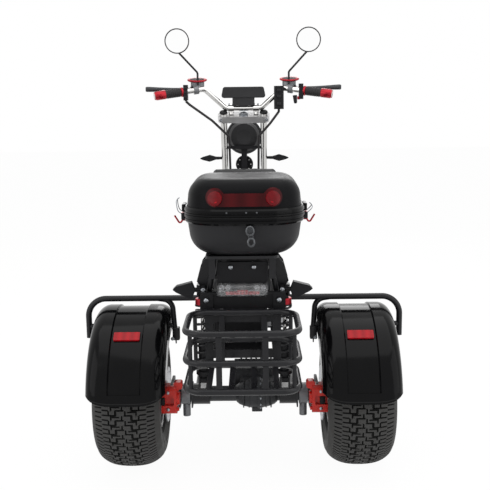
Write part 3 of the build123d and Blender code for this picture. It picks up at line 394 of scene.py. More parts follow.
def skin(mesh: Mesh, loops: Sequence[Loop], cap: bool = True, ring: bool = False) -> None:
    """Joins closed loops of equal length with faces.

    Args:
        mesh: The mesh that grows.
        loops: The loops, in order.
        cap: Whether the first and the last loop are filled.
        ring: Whether the last loop joins the first.
    """
    rows = [[mesh.verts.new(p) for p in loop] for loop in loops]
    for low, high in list(zip(rows, rows[1:])) + ([(rows[-1], rows[0])] if ring else []):
        for i in range(len(low)):
            j = (i + 1) % len(low)
            mesh.faces.new((low[i], low[j], high[j], high[i]))
    if cap and not ring:
        mesh.faces.new(rows[0][::-1])
        mesh.faces.new(rows[-1])


def smooth_line(points: Sequence[Vector], steps: int) -> Loop:
    """A smooth line through the points, each stretch cut into this many parts."""
    last = len(points) - 1
    line: Loop = []
    for i in range(last):
        a, b, c, d = (points[min(max(i + k, 0), last)] for k in (-1, 0, 1, 2))
        for t in (s / steps for s in range(steps)):
            line.append(0.5 * (2 * b + (c - a) * t + (2 * a - 5 * b + 4 * c - d) * t * t
                               + (3 * b - a - 3 * c + d) * t * t * t))
    return line + [points[-1].copy()]


def sweep(mesh: Mesh, line: Sequence[Vector], radius_mm: float, closed: bool = False) -> None:
    """Draws a wire along a line.

    Args:
        mesh: The mesh that grows.
        line: The wire's middle line, in metres.
        radius_mm: Its radius.
        closed: Whether the line closes on itself.
    """
    radius, count = radius_mm * MM, len(line)
    ways = []
    for i in range(count):
        before = line[i - 1] if i or closed else line[0]
        after = line[(i + 1) % count] if i < count - 1 or closed else line[-1]
        ways.append((after - before).normalized())
    side = ways[0].orthogonal().normalized()
    loops = []
    for place, way in zip(line, ways):
        side = (side - way * side.dot(way)).normalized()
        up = way.cross(side)
        loops.append([place + radius * (c * side + s * up) for c, s in spokes(WIRE_CORNERS)])
    skin(mesh, loops, ring=closed)


def turned(mesh: Mesh, profile: Sequence[Pair], start: Vector, way: Vector, around: int = 32,
           ring: bool = False) -> None:
    """Turns a profile round an axis.

    Args:
        mesh: The mesh that grows.
        profile: Pairs of millimetres: how far along the axis, and the radius there.
        start: Where the axis starts, in metres.
        way: The axis's direction.
        around: How many parts the turn is cut into.
        ring: Whether the last pair joins the first.
    """
    way = way.normalized()
    side = way.orthogonal().normalized()
    up = way.cross(side)
    skin(mesh, [[start + way * (along * MM) + (r * MM) * (c * side + s * up) for c, s in spokes(around)]
                for along, r in profile], ring=ring)


def hex_bolt(mesh: Mesh, place: Vector, way: Vector, across_mm: float, high_mm: float) -> None:
    """A six-sided bolt head on its washer.

    Args:
        mesh: The mesh that grows.
        place: Where the washer sits.
        way: Which way the head points.
        across_mm: The head's size over its corners.
        high_mm: The head's height.
    """
    r = across_mm / 2
    turned(mesh, [(0, r * 1.3), (high_mm * 0.3, r * 1.3), (high_mm * 0.4, r * 1.05)], place, way, 18)
    turned(mesh, [(high_mm * 0.35, r), (high_mm * 0.85, r), (high_mm, r * 0.78), (high_mm, r * 0.3)], place, way, 6)


def bolt_circle(mesh: Mesh, centre: Point, radius: float, count: int, side: int, across_mm: float,
                high_mm: float) -> None:
    """Bolts on a circle round an axle.

    Args:
        mesh: The mesh that grows.
        centre: The circle's middle in the drawing's millimetres.
        radius: The circle's radius in millimetres.
        count: How many bolts there are.
        side: 1 where the heads point right, -1 where they point left.
        across_mm: Each head's size over its corners.
        high_mm: Each head's height.
    """
    x, y, z = centre
    for c, s in spokes(count):
        hex_bolt(mesh, at(x, y + radius * s, z + radius * c), Vector((side, 0, 0)), across_mm, high_mm)


def slab(mesh: Mesh, one: Vector, other: Vector, bevel_mm: float) -> None:
    """A box between two opposite corners, with rounded edges."""
    low, high = (Vector([pick(pair) for pair in zip(one, other)]) for pick in (min, max))
    made = bmesh.ops.create_cube(mesh, size=1.0)["verts"]
    middle, size = (low + high) / 2, high - low
    bmesh.ops.transform(mesh, matrix=Matrix.Translation(middle) @ Matrix.Diagonal((*size, 1.0)), verts=made)
    edges = list(dict.fromkeys(e for v in made for e in v.link_edges))
    bmesh.ops.bevel(mesh, geom=edges, offset=bevel_mm * MM, segments=3, profile=0.5, affect="EDGES")


def rounded_outline(half_x: float, back: float, front: float, rear_r: float, front_r: float, x: float, z: float,
                    steps: int = 10) -> Loop:
    """A flat rectangle with rounded corners, seen from above.

    Args:
        half_x: Half its width in mm.
        back: Its rear edge's place along Y in mm.
        front: Its front edge's place.
        rear_r: The radius of its two rear corners.
        front_r: The radius of its two front corners.
        x: Its middle's place along X.
        z: Its height.
        steps: How many parts each corner is cut into.

    Returns:
        The outline's points in metres, counter-clockwise.
    """
    corners = ((x + half_x - rear_r, back + rear_r, rear_r, -90), (x + half_x - front_r, front - front_r, front_r, 0),
               (x - half_x + front_r, front - front_r, front_r, 90), (x - half_x + rear_r, back + rear_r, rear_r, 180))
    return [at(cx + r * math.cos(a), cy + r * math.sin(a), z) for cx, cy, r, start in corners
            for a in (math.radians(start + 90.0 * k / steps) for k in range(steps + 1))]


# Wheels

# A tyre's side from the tread's edge to the bead: shares of its half width and of the height over the bead's lip.
WALL = ((1.06, 0.93), (1.125, 0.8), (1.132, 0.79), (1.138, 0.77), (1.128, 0.76), (1.145, 0.6), (1.137, 0.49),
        (1.148, 0.475), (1.146, 0.445), (1.128, 0.43), (1.09, 0.28), (1.04, 0.17), (1.02, 0.16), (0.985, 0.08))
WALL_FULL = 1.145
# Half the width of a groove that runs round the tyre, and how much of a pitch a groove across it takes.
LINE, SLOT = 0.018, 0.08


@dataclass
class Tyre:
    """A moulded tyre with lugs and grooves cut between them, in millimetres."""

    name: str
    node: str
    body: Body
    centre: Point
    outer_r: float
    width: float
    tread_w: float
    bead_r: float
    bead_w: float
    pitches: int
    groove: float = 4.5
    per_pitch: int = 12
    across: int = 72
    crown_drop: float = 27.0

    def build(self) -> None:
        """Makes the tyre in place of its plain solid."""
        mesh = bmesh.new()
        profile = self.section()
        rows = []
        cx, cy, cz = self.centre
        for k, (c, s) in enumerate(spokes(self.pitches * self.per_pitch)):
            phase = (k % self.per_pitch) / self.per_pitch
            cut = [(x, r if u is None else r - self.cut(u, phase)) for x, r, u in profile]
            rows.append([at(cx + x, cy + r * s, cz + r * c) for x, r in cut])
        skin(mesh, rows, ring=True)
        made = piece(self.name, mesh, TYRE_RUBBER, self.body, 30.0, instead_of=self.node)
        # The grooves take a second, nearly black rubber: painted shade.
        made.data.materials.append(GROOVE_PAINTED_SHADE.material())
        axle = at(*self.centre)
        for face in made.data.polygons:
            off = face.center - axle
            across = abs(off.x) / MM / (self.tread_w / 2)
            # Faces sunk below the tread count as groove and take the painted shade.
            low = math.hypot(off.y, off.z) / MM < self.crown(min(across, 1.0)) - self.groove * 0.3
            face.material_index = int(across < 1.0 and low)

    def crown(self, u: float) -> float:
        """The tread's radius before it is cut, at a place from -1 to 1 across: flat in the middle, round outside."""
        return self.outer_r - self.crown_drop * (0.45 * u * u + 0.55 * u ** 4)

    def section(self) -> list[tuple[float, float, float | None]]:
        """The outline across the tyre.

        Returns:
            Triples: place across, radius, and -1 to 1 across the tread, or None off it.
        """
        crown, half, scale = self.crown(1.0), self.tread_w / 2, self.width / 2 / WALL_FULL
        tread = [(u * half, self.crown(u), u) for u in (-1.0 + 2.0 * k / self.across for k in range(self.across + 1))]
        lip_r = self.bead_r + 12.0
        right = [(w * scale, lip_r + (crown - lip_r) * f, None) for w, f in WALL]
        right += [(self.bead_w / 2, lip_r, None), (self.bead_w / 2, self.bead_r, None)]
        return tread + right + [(-x, r, None) for x, r, _ in reversed(right)]

    def cut(self, u: float, phase: float) -> float:
        """How deep the tread is cut at a place.

        Args:
            u: From -1 to 1 across the tread.
            phase: From 0 to 1 along one pitch.

        Returns:
            The depth in mm.
        """
        side = abs(u)
        turn = (phase + (0.5 if u > 0 else 0.0)) % 1.0
        zig = 0.06 if phase < 0.5 else -0.06
        if abs(u - zig) < LINE or abs(side - (0.5 if turn < 0.5 else 0.42)) < LINE:
            return self.groove
        if side > 0.5:
            fine = (phase + (0.25 if side > 0.74 else 0.0)) % 0.5
            return self.groove * 0.8 if fine < SLOT and side < 0.98 else 0.0
        if turn < SLOT and side > 0.24 or 0.5 <= turn < 0.5 + SLOT and side < 0.28:
            return self.groove
        if abs(turn - 0.8) < SLOT / 2 and 0.12 < side < 0.4:
            return self.groove * 0.7
        return self.groove if abs(side - 0.26) < LINE and turn < 0.5 + SLOT else 0.0


@dataclass
class Wheels:
    """The three wheels: treaded tyres, wheel nuts, centre caps, valves and disc bolts."""

    rear_x: float = 365.0
    face: float = 47.0
    nuts: int = 5
    nut_circle: float = 30.0
    disc_x: float = -56.2
    disc_bolts: int = 6
    disc_circle: float = 42.0

    def build(self) -> None:
        """Makes every tyre and the fasteners on the wheels."""
        for side, word, body in ((-1, "left", Body.WHEEL_LEFT), (1, "right", Body.WHEEL_RIGHT)):
            Tyre(f"tread_tyre_{word}", f"rear_tyre_{word}", body, (side * self.rear_x, 0, REAR_Z), REAR_Z, 210.0,
                 184.0, 101.6, 170.0, 46).build()
            self.hub(side, body, word)
        Tyre("tread_tyre_front", "front_tyre", Body.FRONT_WHEEL, (0, WHEELBASE, FRONT_Z), FRONT_Z, 112.0,
             90.0, 152.4, 78.0, 48, across=40, crown_drop=16.0).build()
        bolts = bmesh.new()
        bolt_circle(bolts, (self.disc_x, WHEELBASE, FRONT_Z), self.disc_circle, self.disc_bolts, -1, 11.0, 4.0)
        piece("front_disc_bolts", bolts, ZINC, Body.FRONT_WHEEL)

    def hub(self, side: int, body: Body, word: str) -> None:
        """Five wheel nuts, a centre cap and a valve on the outer face."""
        nuts, cap = bmesh.new(), bmesh.new()
        x, way = side * (self.rear_x + self.face), Vector((side, 0, 0))
        bolt_circle(nuts, (x, 0, REAR_Z), self.nut_circle, self.nuts, side, 17.0, 11.0)
        turned(cap, [(0, 17), (9, 17), (14, 13), (16, 6)], at(x, 0, REAR_Z), way, 28)
        turned(cap, [(-30, 4), (2, 4), (4, 3)], at(side * (self.rear_x + 40), 62, REAR_Z + 62), way, 12)
        piece(f"wheel_nuts_{word}", nuts, ZINC, body)
        piece(f"hub_cap_{word}", cap, FINE_SHELL, body)


# Rear end


@dataclass
class CoilShocks:
    """The two coil-over shocks: springs, rods, and damper bodies with an eye at each end."""

    x: float = 130.0
    top: Pair = (-60.0, 588.0)
    foot: Pair = (-66.0, 300.0)
    coil_r: float = 19.5
    wire_r: float = 3.9
    turns: float = 9.0
    per_turn: int = 20
    low: float = 34.0
    high_from_top: float = 46.0

    def build(self) -> None:
        """Makes both shocks in place of the ribbed solids."""
        springs, dampers, rods = bmesh.new(), bmesh.new(), bmesh.new()
        for side in SIDES:
            foot, top = at(side * self.x, *self.foot), at(side * self.x, *self.top)
            way = (top - foot).normalized()
            length = (top - foot).length / MM
            self.spring(springs, foot, way, length)
            turned(dampers, [(8, 8), (12, 15), (16, 15), (20, 23), (30, 23), (33, 15), (36, 15), (150, 15), (154, 9)],
                   foot, way)
            turned(dampers, [(length - drop, r) for drop, r in ((46, 23), (41, 23), (40, 12), (14, 12), (8, 7))],
                   foot, way)
            for end in (foot, top):
                turned(dampers, [(-10, 7), (-10, 11), (10, 11), (10, 7)], end, RIGHT, ring=True)
            turned(rods, [(148, 6), (length - 40, 6)], foot, way, 16)
        piece("shock_springs", springs, FRAME_BLACK, instead_of="rear_shocks")
        piece("shock_dampers", dampers, FINE_SHELL)
        piece("shock_rods", rods, CHROME)

    def spring(self, mesh: Mesh, foot: Vector, way: Vector, length: float) -> None:
        """Winds one spring round the line from the foot to the top."""
        side = way.orthogonal().normalized()
        up = way.cross(side)
        count = int(self.turns * self.per_turn)
        reach = length - self.high_from_top - self.low
        line = []
        for t in (k / count for k in range(count + 1)):
            a = math.tau * self.turns * t
            rise = self.low + reach * t
            line.append(foot + way * (rise * MM) + self.coil_r * MM * (math.cos(a) * side + math.sin(a) * up))
        sweep(mesh, line, self.wire_r)


@dataclass
class AxleFittings:
    """The axle casing's cover bolts, and the bolts, pins and slots of the rear calipers."""

    cover_x: float = 50.0
    cover_r: float = 47.0
    cover_bolts: int = 12
    caliper_x: float = 253.0
    bolt_spots: tuple[Pair, ...] = ((-88, 246.5), (-66, 276.5), (-66, 208))

    def build(self) -> None:
        """Makes the fasteners."""
        cover, bolts, slots = bmesh.new(), bmesh.new(), bmesh.new()
        bolt_circle(cover, (self.cover_x, 0, REAR_Z), self.cover_r, self.cover_bolts, 1, 8.0, 5.0)
        for side in SIDES:
            x = side * self.caliper_x
            for y, z in self.bolt_spots:
                hex_bolt(bolts, at(x - side * 39.2, y, z), Vector((-side, 0, 0)), 12.0, 7.0)
            for z in (REAR_Z - 10, REAR_Z + 46):
                turned(bolts, [(0, 5), (4, 5), (5, 3)], at(x - side * 12, -114, z), BACK, 12)
            slab(slots, at(x - 15, -115.5, REAR_Z + 4), at(x + 1, -104, REAR_Z + 28), 2.0)
        piece("casing_bolts", cover, ZINC)
        piece("caliper_bolts", bolts, ZINC)
        piece("caliper_slots", slots, FINE_SHELL)


@dataclass
class FenderLips:
    """The rear edge of each fender: drawn down in the middle and rolled over a wire."""

    x: float = 356.0
    z: float = 250.0
    radius: float = 276.0
    half: float = 120.0
    corner_r: float = 40.0
    start_deg: float = 15.2
    drop_deg: float = 6.5
    thick: float = 4.0

    def build(self) -> None:
        """Makes the two aprons."""
        for side, word in zip(SIDES, ("left", "right")):
            mesh = bmesh.new()
            skin(mesh, [self.cut(side, place, way) for place, way in self.across()])
            piece(f"fender_lip_{word}", mesh, GLOSS_SHELL, smooth_deg=40.0)

    def across(self) -> list[tuple[Pair, Pair]]:
        """Places on the fender's section and the way out of it, from its inner to its outer side."""
        flat, steps = self.half - self.corner_r, 10
        spots = []
        for k in range(2 * steps + 1):
            if k == steps:
                spots += [((flat * (j / 8 - 1), self.radius), (0.0, 1.0)) for j in range(17)]
                continue
            a = math.radians(-90 + 90 * k / steps)
            way = (math.sin(a), math.cos(a))
            spots.append(((math.copysign(flat, a) + self.corner_r * way[0],
                           self.radius - self.corner_r + self.corner_r * way[1]), way))
        return spots

    def cut(self, side: int, place: Pair, way: Pair) -> Loop:
        """The apron's section at one place across, with the bead at its lower edge.

        Args:
            side: -1 for the left fender, 1 for the right one.
            place: Place across and radius on the fender's outer face.
            way: The way out of that face, across and along the radius.

        Returns:
            The section's points.
        """
        end = self.start_deg - self.drop_deg * (1 - abs(place[0] / self.half) ** 4)
        bead = 1 - abs(place[0] / self.half) ** 6
        steps = ((0, self.start_deg), (0, end + 1.3 * bead), (2.2 * bead, end + 0.9 * bead),
                 (2.8 * bead, end + 0.2 * bead), (1.6 * bead, end - 0.4 * bead), (-2.0, end - 0.5 * bead),
                 (-self.thick, end - 0.1), (-self.thick, self.start_deg))
        loop = []
        for out, deg in steps:
            x, r, a = place[0] + way[0] * out, place[1] + way[1] * out, math.radians(deg)
            loop.append(at(side * (self.x + x), -r * math.cos(a), self.z + r * math.sin(a)))
        return loop


@dataclass
class Tail:
    """The clear tail lamp with its red strip, the bolts of the plates and the rails' clamps."""

    half: float = 75.0
    low: float = 616.0
    high: float = 652.0
    back: float = -231.3
    rear: float = -258.0
    rail_x: float = 223.0
    clamp_z: float = 440.0

    def build(self) -> None:
        """Makes the lamp and the tail's small parts."""
        self.lamp()
        heads, bolts, clamps = bmesh.new(), bmesh.new(), bmesh.new()
        for side in SIDES:
            turned(heads, [(0, 8), (3, 8), (6, 6), (7.5, 2)], at(side * 107, -232.0, 600), BACK, 20)
            turned(heads, [(0, 6.5), (3, 6.5), (5, 4.5), (5.5, 1.5)], at(side * 34, -238.3, 700), BACK, 20)
            hex_bolt(heads, at(side * 117, -211, 626), BACK, 10.0, 6.0)
            hex_bolt(heads, at(side * 117, -211, 605), BACK, 8.0, 5.0)
            x = side * self.rail_x
            hex_bolt(bolts, at(x + side * 9, -11, self.clamp_z - 20), BACK, 9.0, 6.0)
            slab(clamps, at(x - 9, -12, self.clamp_z - 26), at(x + 14, 12, self.clamp_z + 16), 3.0)
        piece("tail_fasteners", heads, ZINC)
        piece("rail_clamp_bolts", bolts, ZINC)
        piece("rail_clamps", clamps, FRAME_BLACK)

    def ring(self, inset: float, y: float) -> Loop:
        """The lamp's outline seen from behind, drawn in by an inset."""
        middle, tall = (self.low + self.high) / 2, (self.high - self.low) / 2
        flat = rounded_outline(self.half - inset, -tall + inset, tall - inset, 11.0, 11.0, 0, 0, 6)
        return [at(p.x / MM, y, middle + (p.y - AXLE_Y) / MM) for p in flat]

    def lamp(self) -> None:
        """The lens as a shell, the plate and the reflector behind it and the strip of lights."""
        lens, plate, reflector, lights = bmesh.new(), bmesh.new(), bmesh.new(), bmesh.new()
        shell = ((0, self.back), (0, -252), (1.5, -256), (5, self.rear), (7, -256.5), (4, -252), (3.2, self.back))
        skin(lens, [self.ring(inset, y) for inset, y in shell], cap=False)
        skin(lens, [self.ring(5, self.rear), self.ring(14, self.rear - 0.2)])
        skin(plate, [self.ring(4, -232), self.ring(4, -236), self.ring(12, -238)])
        middle = (self.low + self.high) / 2
        for x in (-60, -42, 42, 60):
            turned(reflector, [(0, 4), (4, 7.5), (7, 8.0), (7, 6.6), (2.5, 2.0)], at(x, -238, middle + 6), BACK, 20)
        slab(reflector, at(-66, -243, middle - 5.5), at(66, -237, middle - 3), 1.0)
        for x in range(-44, 45, 11):
            high = middle - 1 if abs(x) < 20 else middle - 5
            slab(lights, at(x - 5, -250, self.low + 4), at(x + 5, -238, high), 1.5)
        piece("tail_lamp_lens", lens, CLEAR_LENS, instead_of="tail_lamp")
        piece("tail_lamp_back", plate, FINE_SHELL)
        piece("tail_lamp_reflector", reflector, LAMP_SILVER)
        piece("tail_lamp_lights", lights, LIT_RED)


# Luggage case


@dataclass
class LuggageCase:
    """The case's rim bands, latches, wire bails, rear light details, lock and hanging keys."""

    x: float = 8.0
    half_x: float = 171.0
    back: float = -340.0
    front: float = 10.0
    rear_r: float = 118.0
    front_r: float = 92.0
    seam: float = 858.0
    lens_reach: float = 81.0
    lens_z: float = 911.0
    band: float = 22.0

    def build(self) -> None:
        """Makes everything on the case."""
        self.rim(Body.LID, "case_rim_upper", self.seam + 0.8, 1.0)
        self.rim(Body.CHASSIS, "case_rim_lower", self.seam - 0.5, -1.0)
        self.latches()
        self.lights()
        self.keys()

    def outline(self, grow: float, z: float) -> Loop:
        """The case's outline at a height, grown by some millimetres but never past the hinge line in front."""
        return rounded_outline(self.half_x + grow, self.back - grow, self.front + min(grow, -0.5), self.rear_r + grow,
                               self.front_r + grow, self.x, z, 14)

    def rim(self, body: Body, name: str, start: float, up: float) -> None:
        """A moulded band round the case next to the seam.

        Args:
            body: The half that it belongs to.
            name: The piece's name.
            start: The height of its edge at the seam.
            up: 1 upwards, -1 downwards.
        """
        mesh = bmesh.new()
        steps = ((-5.2, 0.0), (1.5, 0.0), (2.5, 1.2), (2.5, 6.0), (0.2, 7.0), (0.2, 9.5), (2.2, 10.5), (2.2, 17.0),
                 (0.5, self.band - 3), (-2.0, self.band), (-5.2, self.band - 0.5))
        skin(mesh, [self.outline(grow, start + up * rise) for grow, rise in steps], ring=True)
        piece(name, mesh, GLOSS_SHELL, body, 30.0)

    def latches(self) -> None:
        """Blocks and keepers on both sides, and the wire bails that join them."""
        blocks, keepers, bails = bmesh.new(), bmesh.new(), bmesh.new()
        low, high = self.seam - 4, self.seam + 6
        for side in SIDES:
            x = self.x + side * self.half_x
            slab(blocks, at(x, -214, self.seam - 22), at(x + side * 13, -150, self.seam - 1), 3)
            slab(keepers, at(x, -212, self.seam + 2), at(x + side * 11, -152, self.seam + 24), 3)
            x = self.x + side * (self.half_x + 12)
            top = self.seam + (40 if side < 0 else 22)
            spots = ((0, -206, low), (11, -206, high), (15, -200, top - 8), (8, -182, top), (15, -164, top - 8),
                     (11, -158, high), (0, -158, low))
            sweep(bails, smooth_line([at(x + side * out, y, z) for out, y, z in spots], 6), 1.3)
        piece("latch_blocks", blocks, FINE_SHELL)
        piece("latch_keepers", keepers, GLOSS_SHELL, Body.LID)
        piece("wire_bails", bails, ZINC)

    def lights(self) -> None:
        """Small screws above the seam and the two bowls with their lights on the rear lens."""
        screws, bowls, cores = bmesh.new(), bmesh.new(), bmesh.new()
        for x in (-48, 6, 35):
            turned(screws, [(0, 2.8), (1.5, 2.6), (2.2, 1)], at(self.x + x, self.back - 1.8, self.seam + 14), BACK, 16)
        lean = self.lens_reach - self.half_x + self.rear_r
        drop = self.rear_r - math.sqrt(self.rear_r ** 2 - lean ** 2)
        for side in SIDES:
            way = Vector((side * lean / self.rear_r, -0.96, 0.14))
            turned(bowls, [(-4, 21), (0.4, 20), (1.4, 16), (2.0, 9), (2.1, 3)],
                   at(self.x + side * self.lens_reach, self.back + drop + 2.2, self.lens_z), way, 36)
            turned(cores, [(-3, 9.5), (0.2, 9), (1.0, 6), (1.2, 2)],
                   at(self.x + side * (self.lens_reach - 2), self.back + drop, self.lens_z - 6), way, 24)
        piece("rim_screws", screws, KEY_STEEL, Body.LID)
        piece("lid_lens_bowls", bowls, BOWL_RED, Body.LID)
        piece("lid_lens_lights", cores, REFLECTOR_RED, Body.LID)

    def keys(self) -> None:
        """The lock's face, a key in it with its bow, and a ring with a second bow hanging below."""
        mesh = bmesh.new()
        lock_z, y = self.seam - 36, self.back + 6.0
        turned(mesh, [(0, 12), (5, 12), (7, 10), (7, 4)], at(self.x + 16, y, lock_z), BACK, 28)
        slab(mesh, at(self.x + 14.8, y - 24, lock_z - 4), at(self.x + 17.2, y - 6, lock_z + 4), 0.8)
        for dx, drop, wide, high, wire in ((16, -2, 10, 12, 2.8), (18, 14, 6, 7, 1.0), (19, 29, 8.5, 11, 3.2)):
            loop = [at(self.x + dx + wide * c, y - 27 + 0.15 * wide * s, lock_z - drop + high * s)
                    for c, s in spokes(20)]
            sweep(mesh, loop, wire, closed=True)
        piece("case_keys", mesh, KEY_STEEL)


# Seating


@dataclass
class Cushion:
    """A stuffed vinyl cushion: its plan outline, its height and how far it swells, in millimetres."""

    name: str
    body: Body
    half_x: float
    back: float
    front: float
    corner: float
    low: float
    high: float
    edge: float = 26.0
    shrink: float = 5.0
    swell: float = 9.0
    voxel: float = 5.0
    pressure: float = 4.0
    frames: int = 20

    def build(self) -> Thing:
        """Makes the cushion and sews its welt round the upper edge.

        Returns:
            The cushion.
        """
        mesh = bmesh.new()
        s, low, high = self.shrink, self.low, self.high - self.shrink
        rows = [(self.edge * 0.5, low), (4, low + 6), (0, low + 16), (0, high - self.edge * 1.1)]
        rows += [(self.edge * (1 - math.cos(a)), high - self.edge * (1 - math.sin(a)))
                 for a in (math.radians(15 * k) for k in range(1, 6))]
        rows += [(self.edge * 1.6, high), (self.edge * 2.6, high + 1.0)]
        corners = [max(self.corner - inset * 0.6, 8) for inset, _ in rows]
        skin(mesh, [rounded_outline(self.half_x - s - inset, self.back + s + inset, self.front - s - inset, r, r, 0.0,
                                    z) for (inset, z), r in zip(rows, corners)])
        pad = piece(self.name, mesh, VINYL, self.body, 180.0)
        self.stuff(pad)
        self.welt(pad)
        return pad

    def stuff(self, pad: Thing) -> None:
        """Blows the closed skin of the cushion up as foam does, then smooths it."""
        remesh = pad.modifiers.new("remesh", "REMESH")
        remesh.mode, remesh.voxel_size, remesh.use_smooth_shade = "VOXEL", self.voxel * MM, True
        bake(pad)
        home = [v.co.copy() for v in pad.data.vertices]
        cloth = pad.modifiers.new("cloth", "CLOTH")
        cloth.settings.use_pressure = True
        cloth.settings.uniform_pressure_force = self.pressure
        cloth.settings.effector_weights.gravity = 0.0
        cloth.settings.quality = 5
        cloth.point_cache.frame_start, cloth.point_cache.frame_end = 1, self.frames
        for number in range(1, self.frames + 1):
            bpy.context.scene.frame_set(number)
        bake(pad)
        bpy.context.scene.frame_set(1)
        floor = self.low * MM
        for vertex, start in zip(pad.data.vertices, home):
            move = vertex.co - start
            vertex.co = start + move.normalized() * min(move.length, self.swell * MM)
            vertex.co.z = max(vertex.co.z, floor)
        smooth = pad.modifiers.new("subdivide", "SUBSURF")
        smooth.levels = smooth.render_levels = 1
        bake(pad)
        pad.data.shade_smooth()

    def welt(self, pad: Thing) -> None:
        """Sews a piped seam on the cushion's skin, a little under its upper edge."""
        tree = BVHTree.FromObject(pad, bpy.context.evaluated_depsgraph_get())
        outline = rounded_outline(self.half_x + 12, self.back - 12, self.front + 12, self.corner, self.corner, 0.0,
                                  self.high - self.edge * 1.15, 12)
        line = [tree.find_nearest(a.lerp(b, k / 3))[0]
                for a, b in zip(outline, outline[1:] + outline[:1]) for k in range(3)]
        mesh = bmesh.new()
        sweep(mesh, line, 2.2, closed=True)
        piece(f"{self.name}_welt", mesh, VINYL, self.body)


def bake(thing: Thing) -> None:
    """Applies all modifiers of an object and leaves it with a plain mesh."""
    graph = bpy.context.evaluated_depsgraph_get()
    data = bpy.data.meshes.new_from_object(thing.evaluated_get(graph))
    thing.modifiers.clear()
    thing.data = data


class Seating:
    """The rider's cushion, the higher rear cushion and the pad on the case's front."""

    def build(self) -> None:
        """Makes the three cushions in place of their plain solids."""
        rider = Cushion("rider_cushion", Body.CHASSIS, 150, 250, 640, 80, 652.3, 736)
        rear = Cushion("rear_cushion", Body.CHASSIS, 120, 30, 244, 50, 652.3, 770)
        for cushion in (rider, rear):
            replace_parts(cushion.build(), "seats")
        self.backrest()

    def backrest(self) -> None:
        """The upright pad, built lying down and stood against the case."""
        low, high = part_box("backrest_pad")
        middle = (Vector(low) + Vector(high)) / 2
        half_x, tall, deep = (high[0] - low[0]) / 2 / MM, (high[2] - low[2]) / MM, (high[1] - low[1]) / MM
        made = Cushion("backrest_cushion", Body.LID, half_x, 0.0, tall, 16, 0.0, deep, edge=14, shrink=3,
                       swell=5).build()
        stand = (Matrix.Translation(Vector((middle.x, low[1], high[2]))) @ Matrix.Rotation(math.radians(-90), 4, "X")
                 @ Matrix.Translation(Vector((0, -AXLE_Y, 0))))
        for thing in (made, bpy.data.objects["backrest_cushion_welt"]):
            thing.data.transform(stand)
            thing.data.update()
        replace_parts(made, "backrest_pad")


# Front end


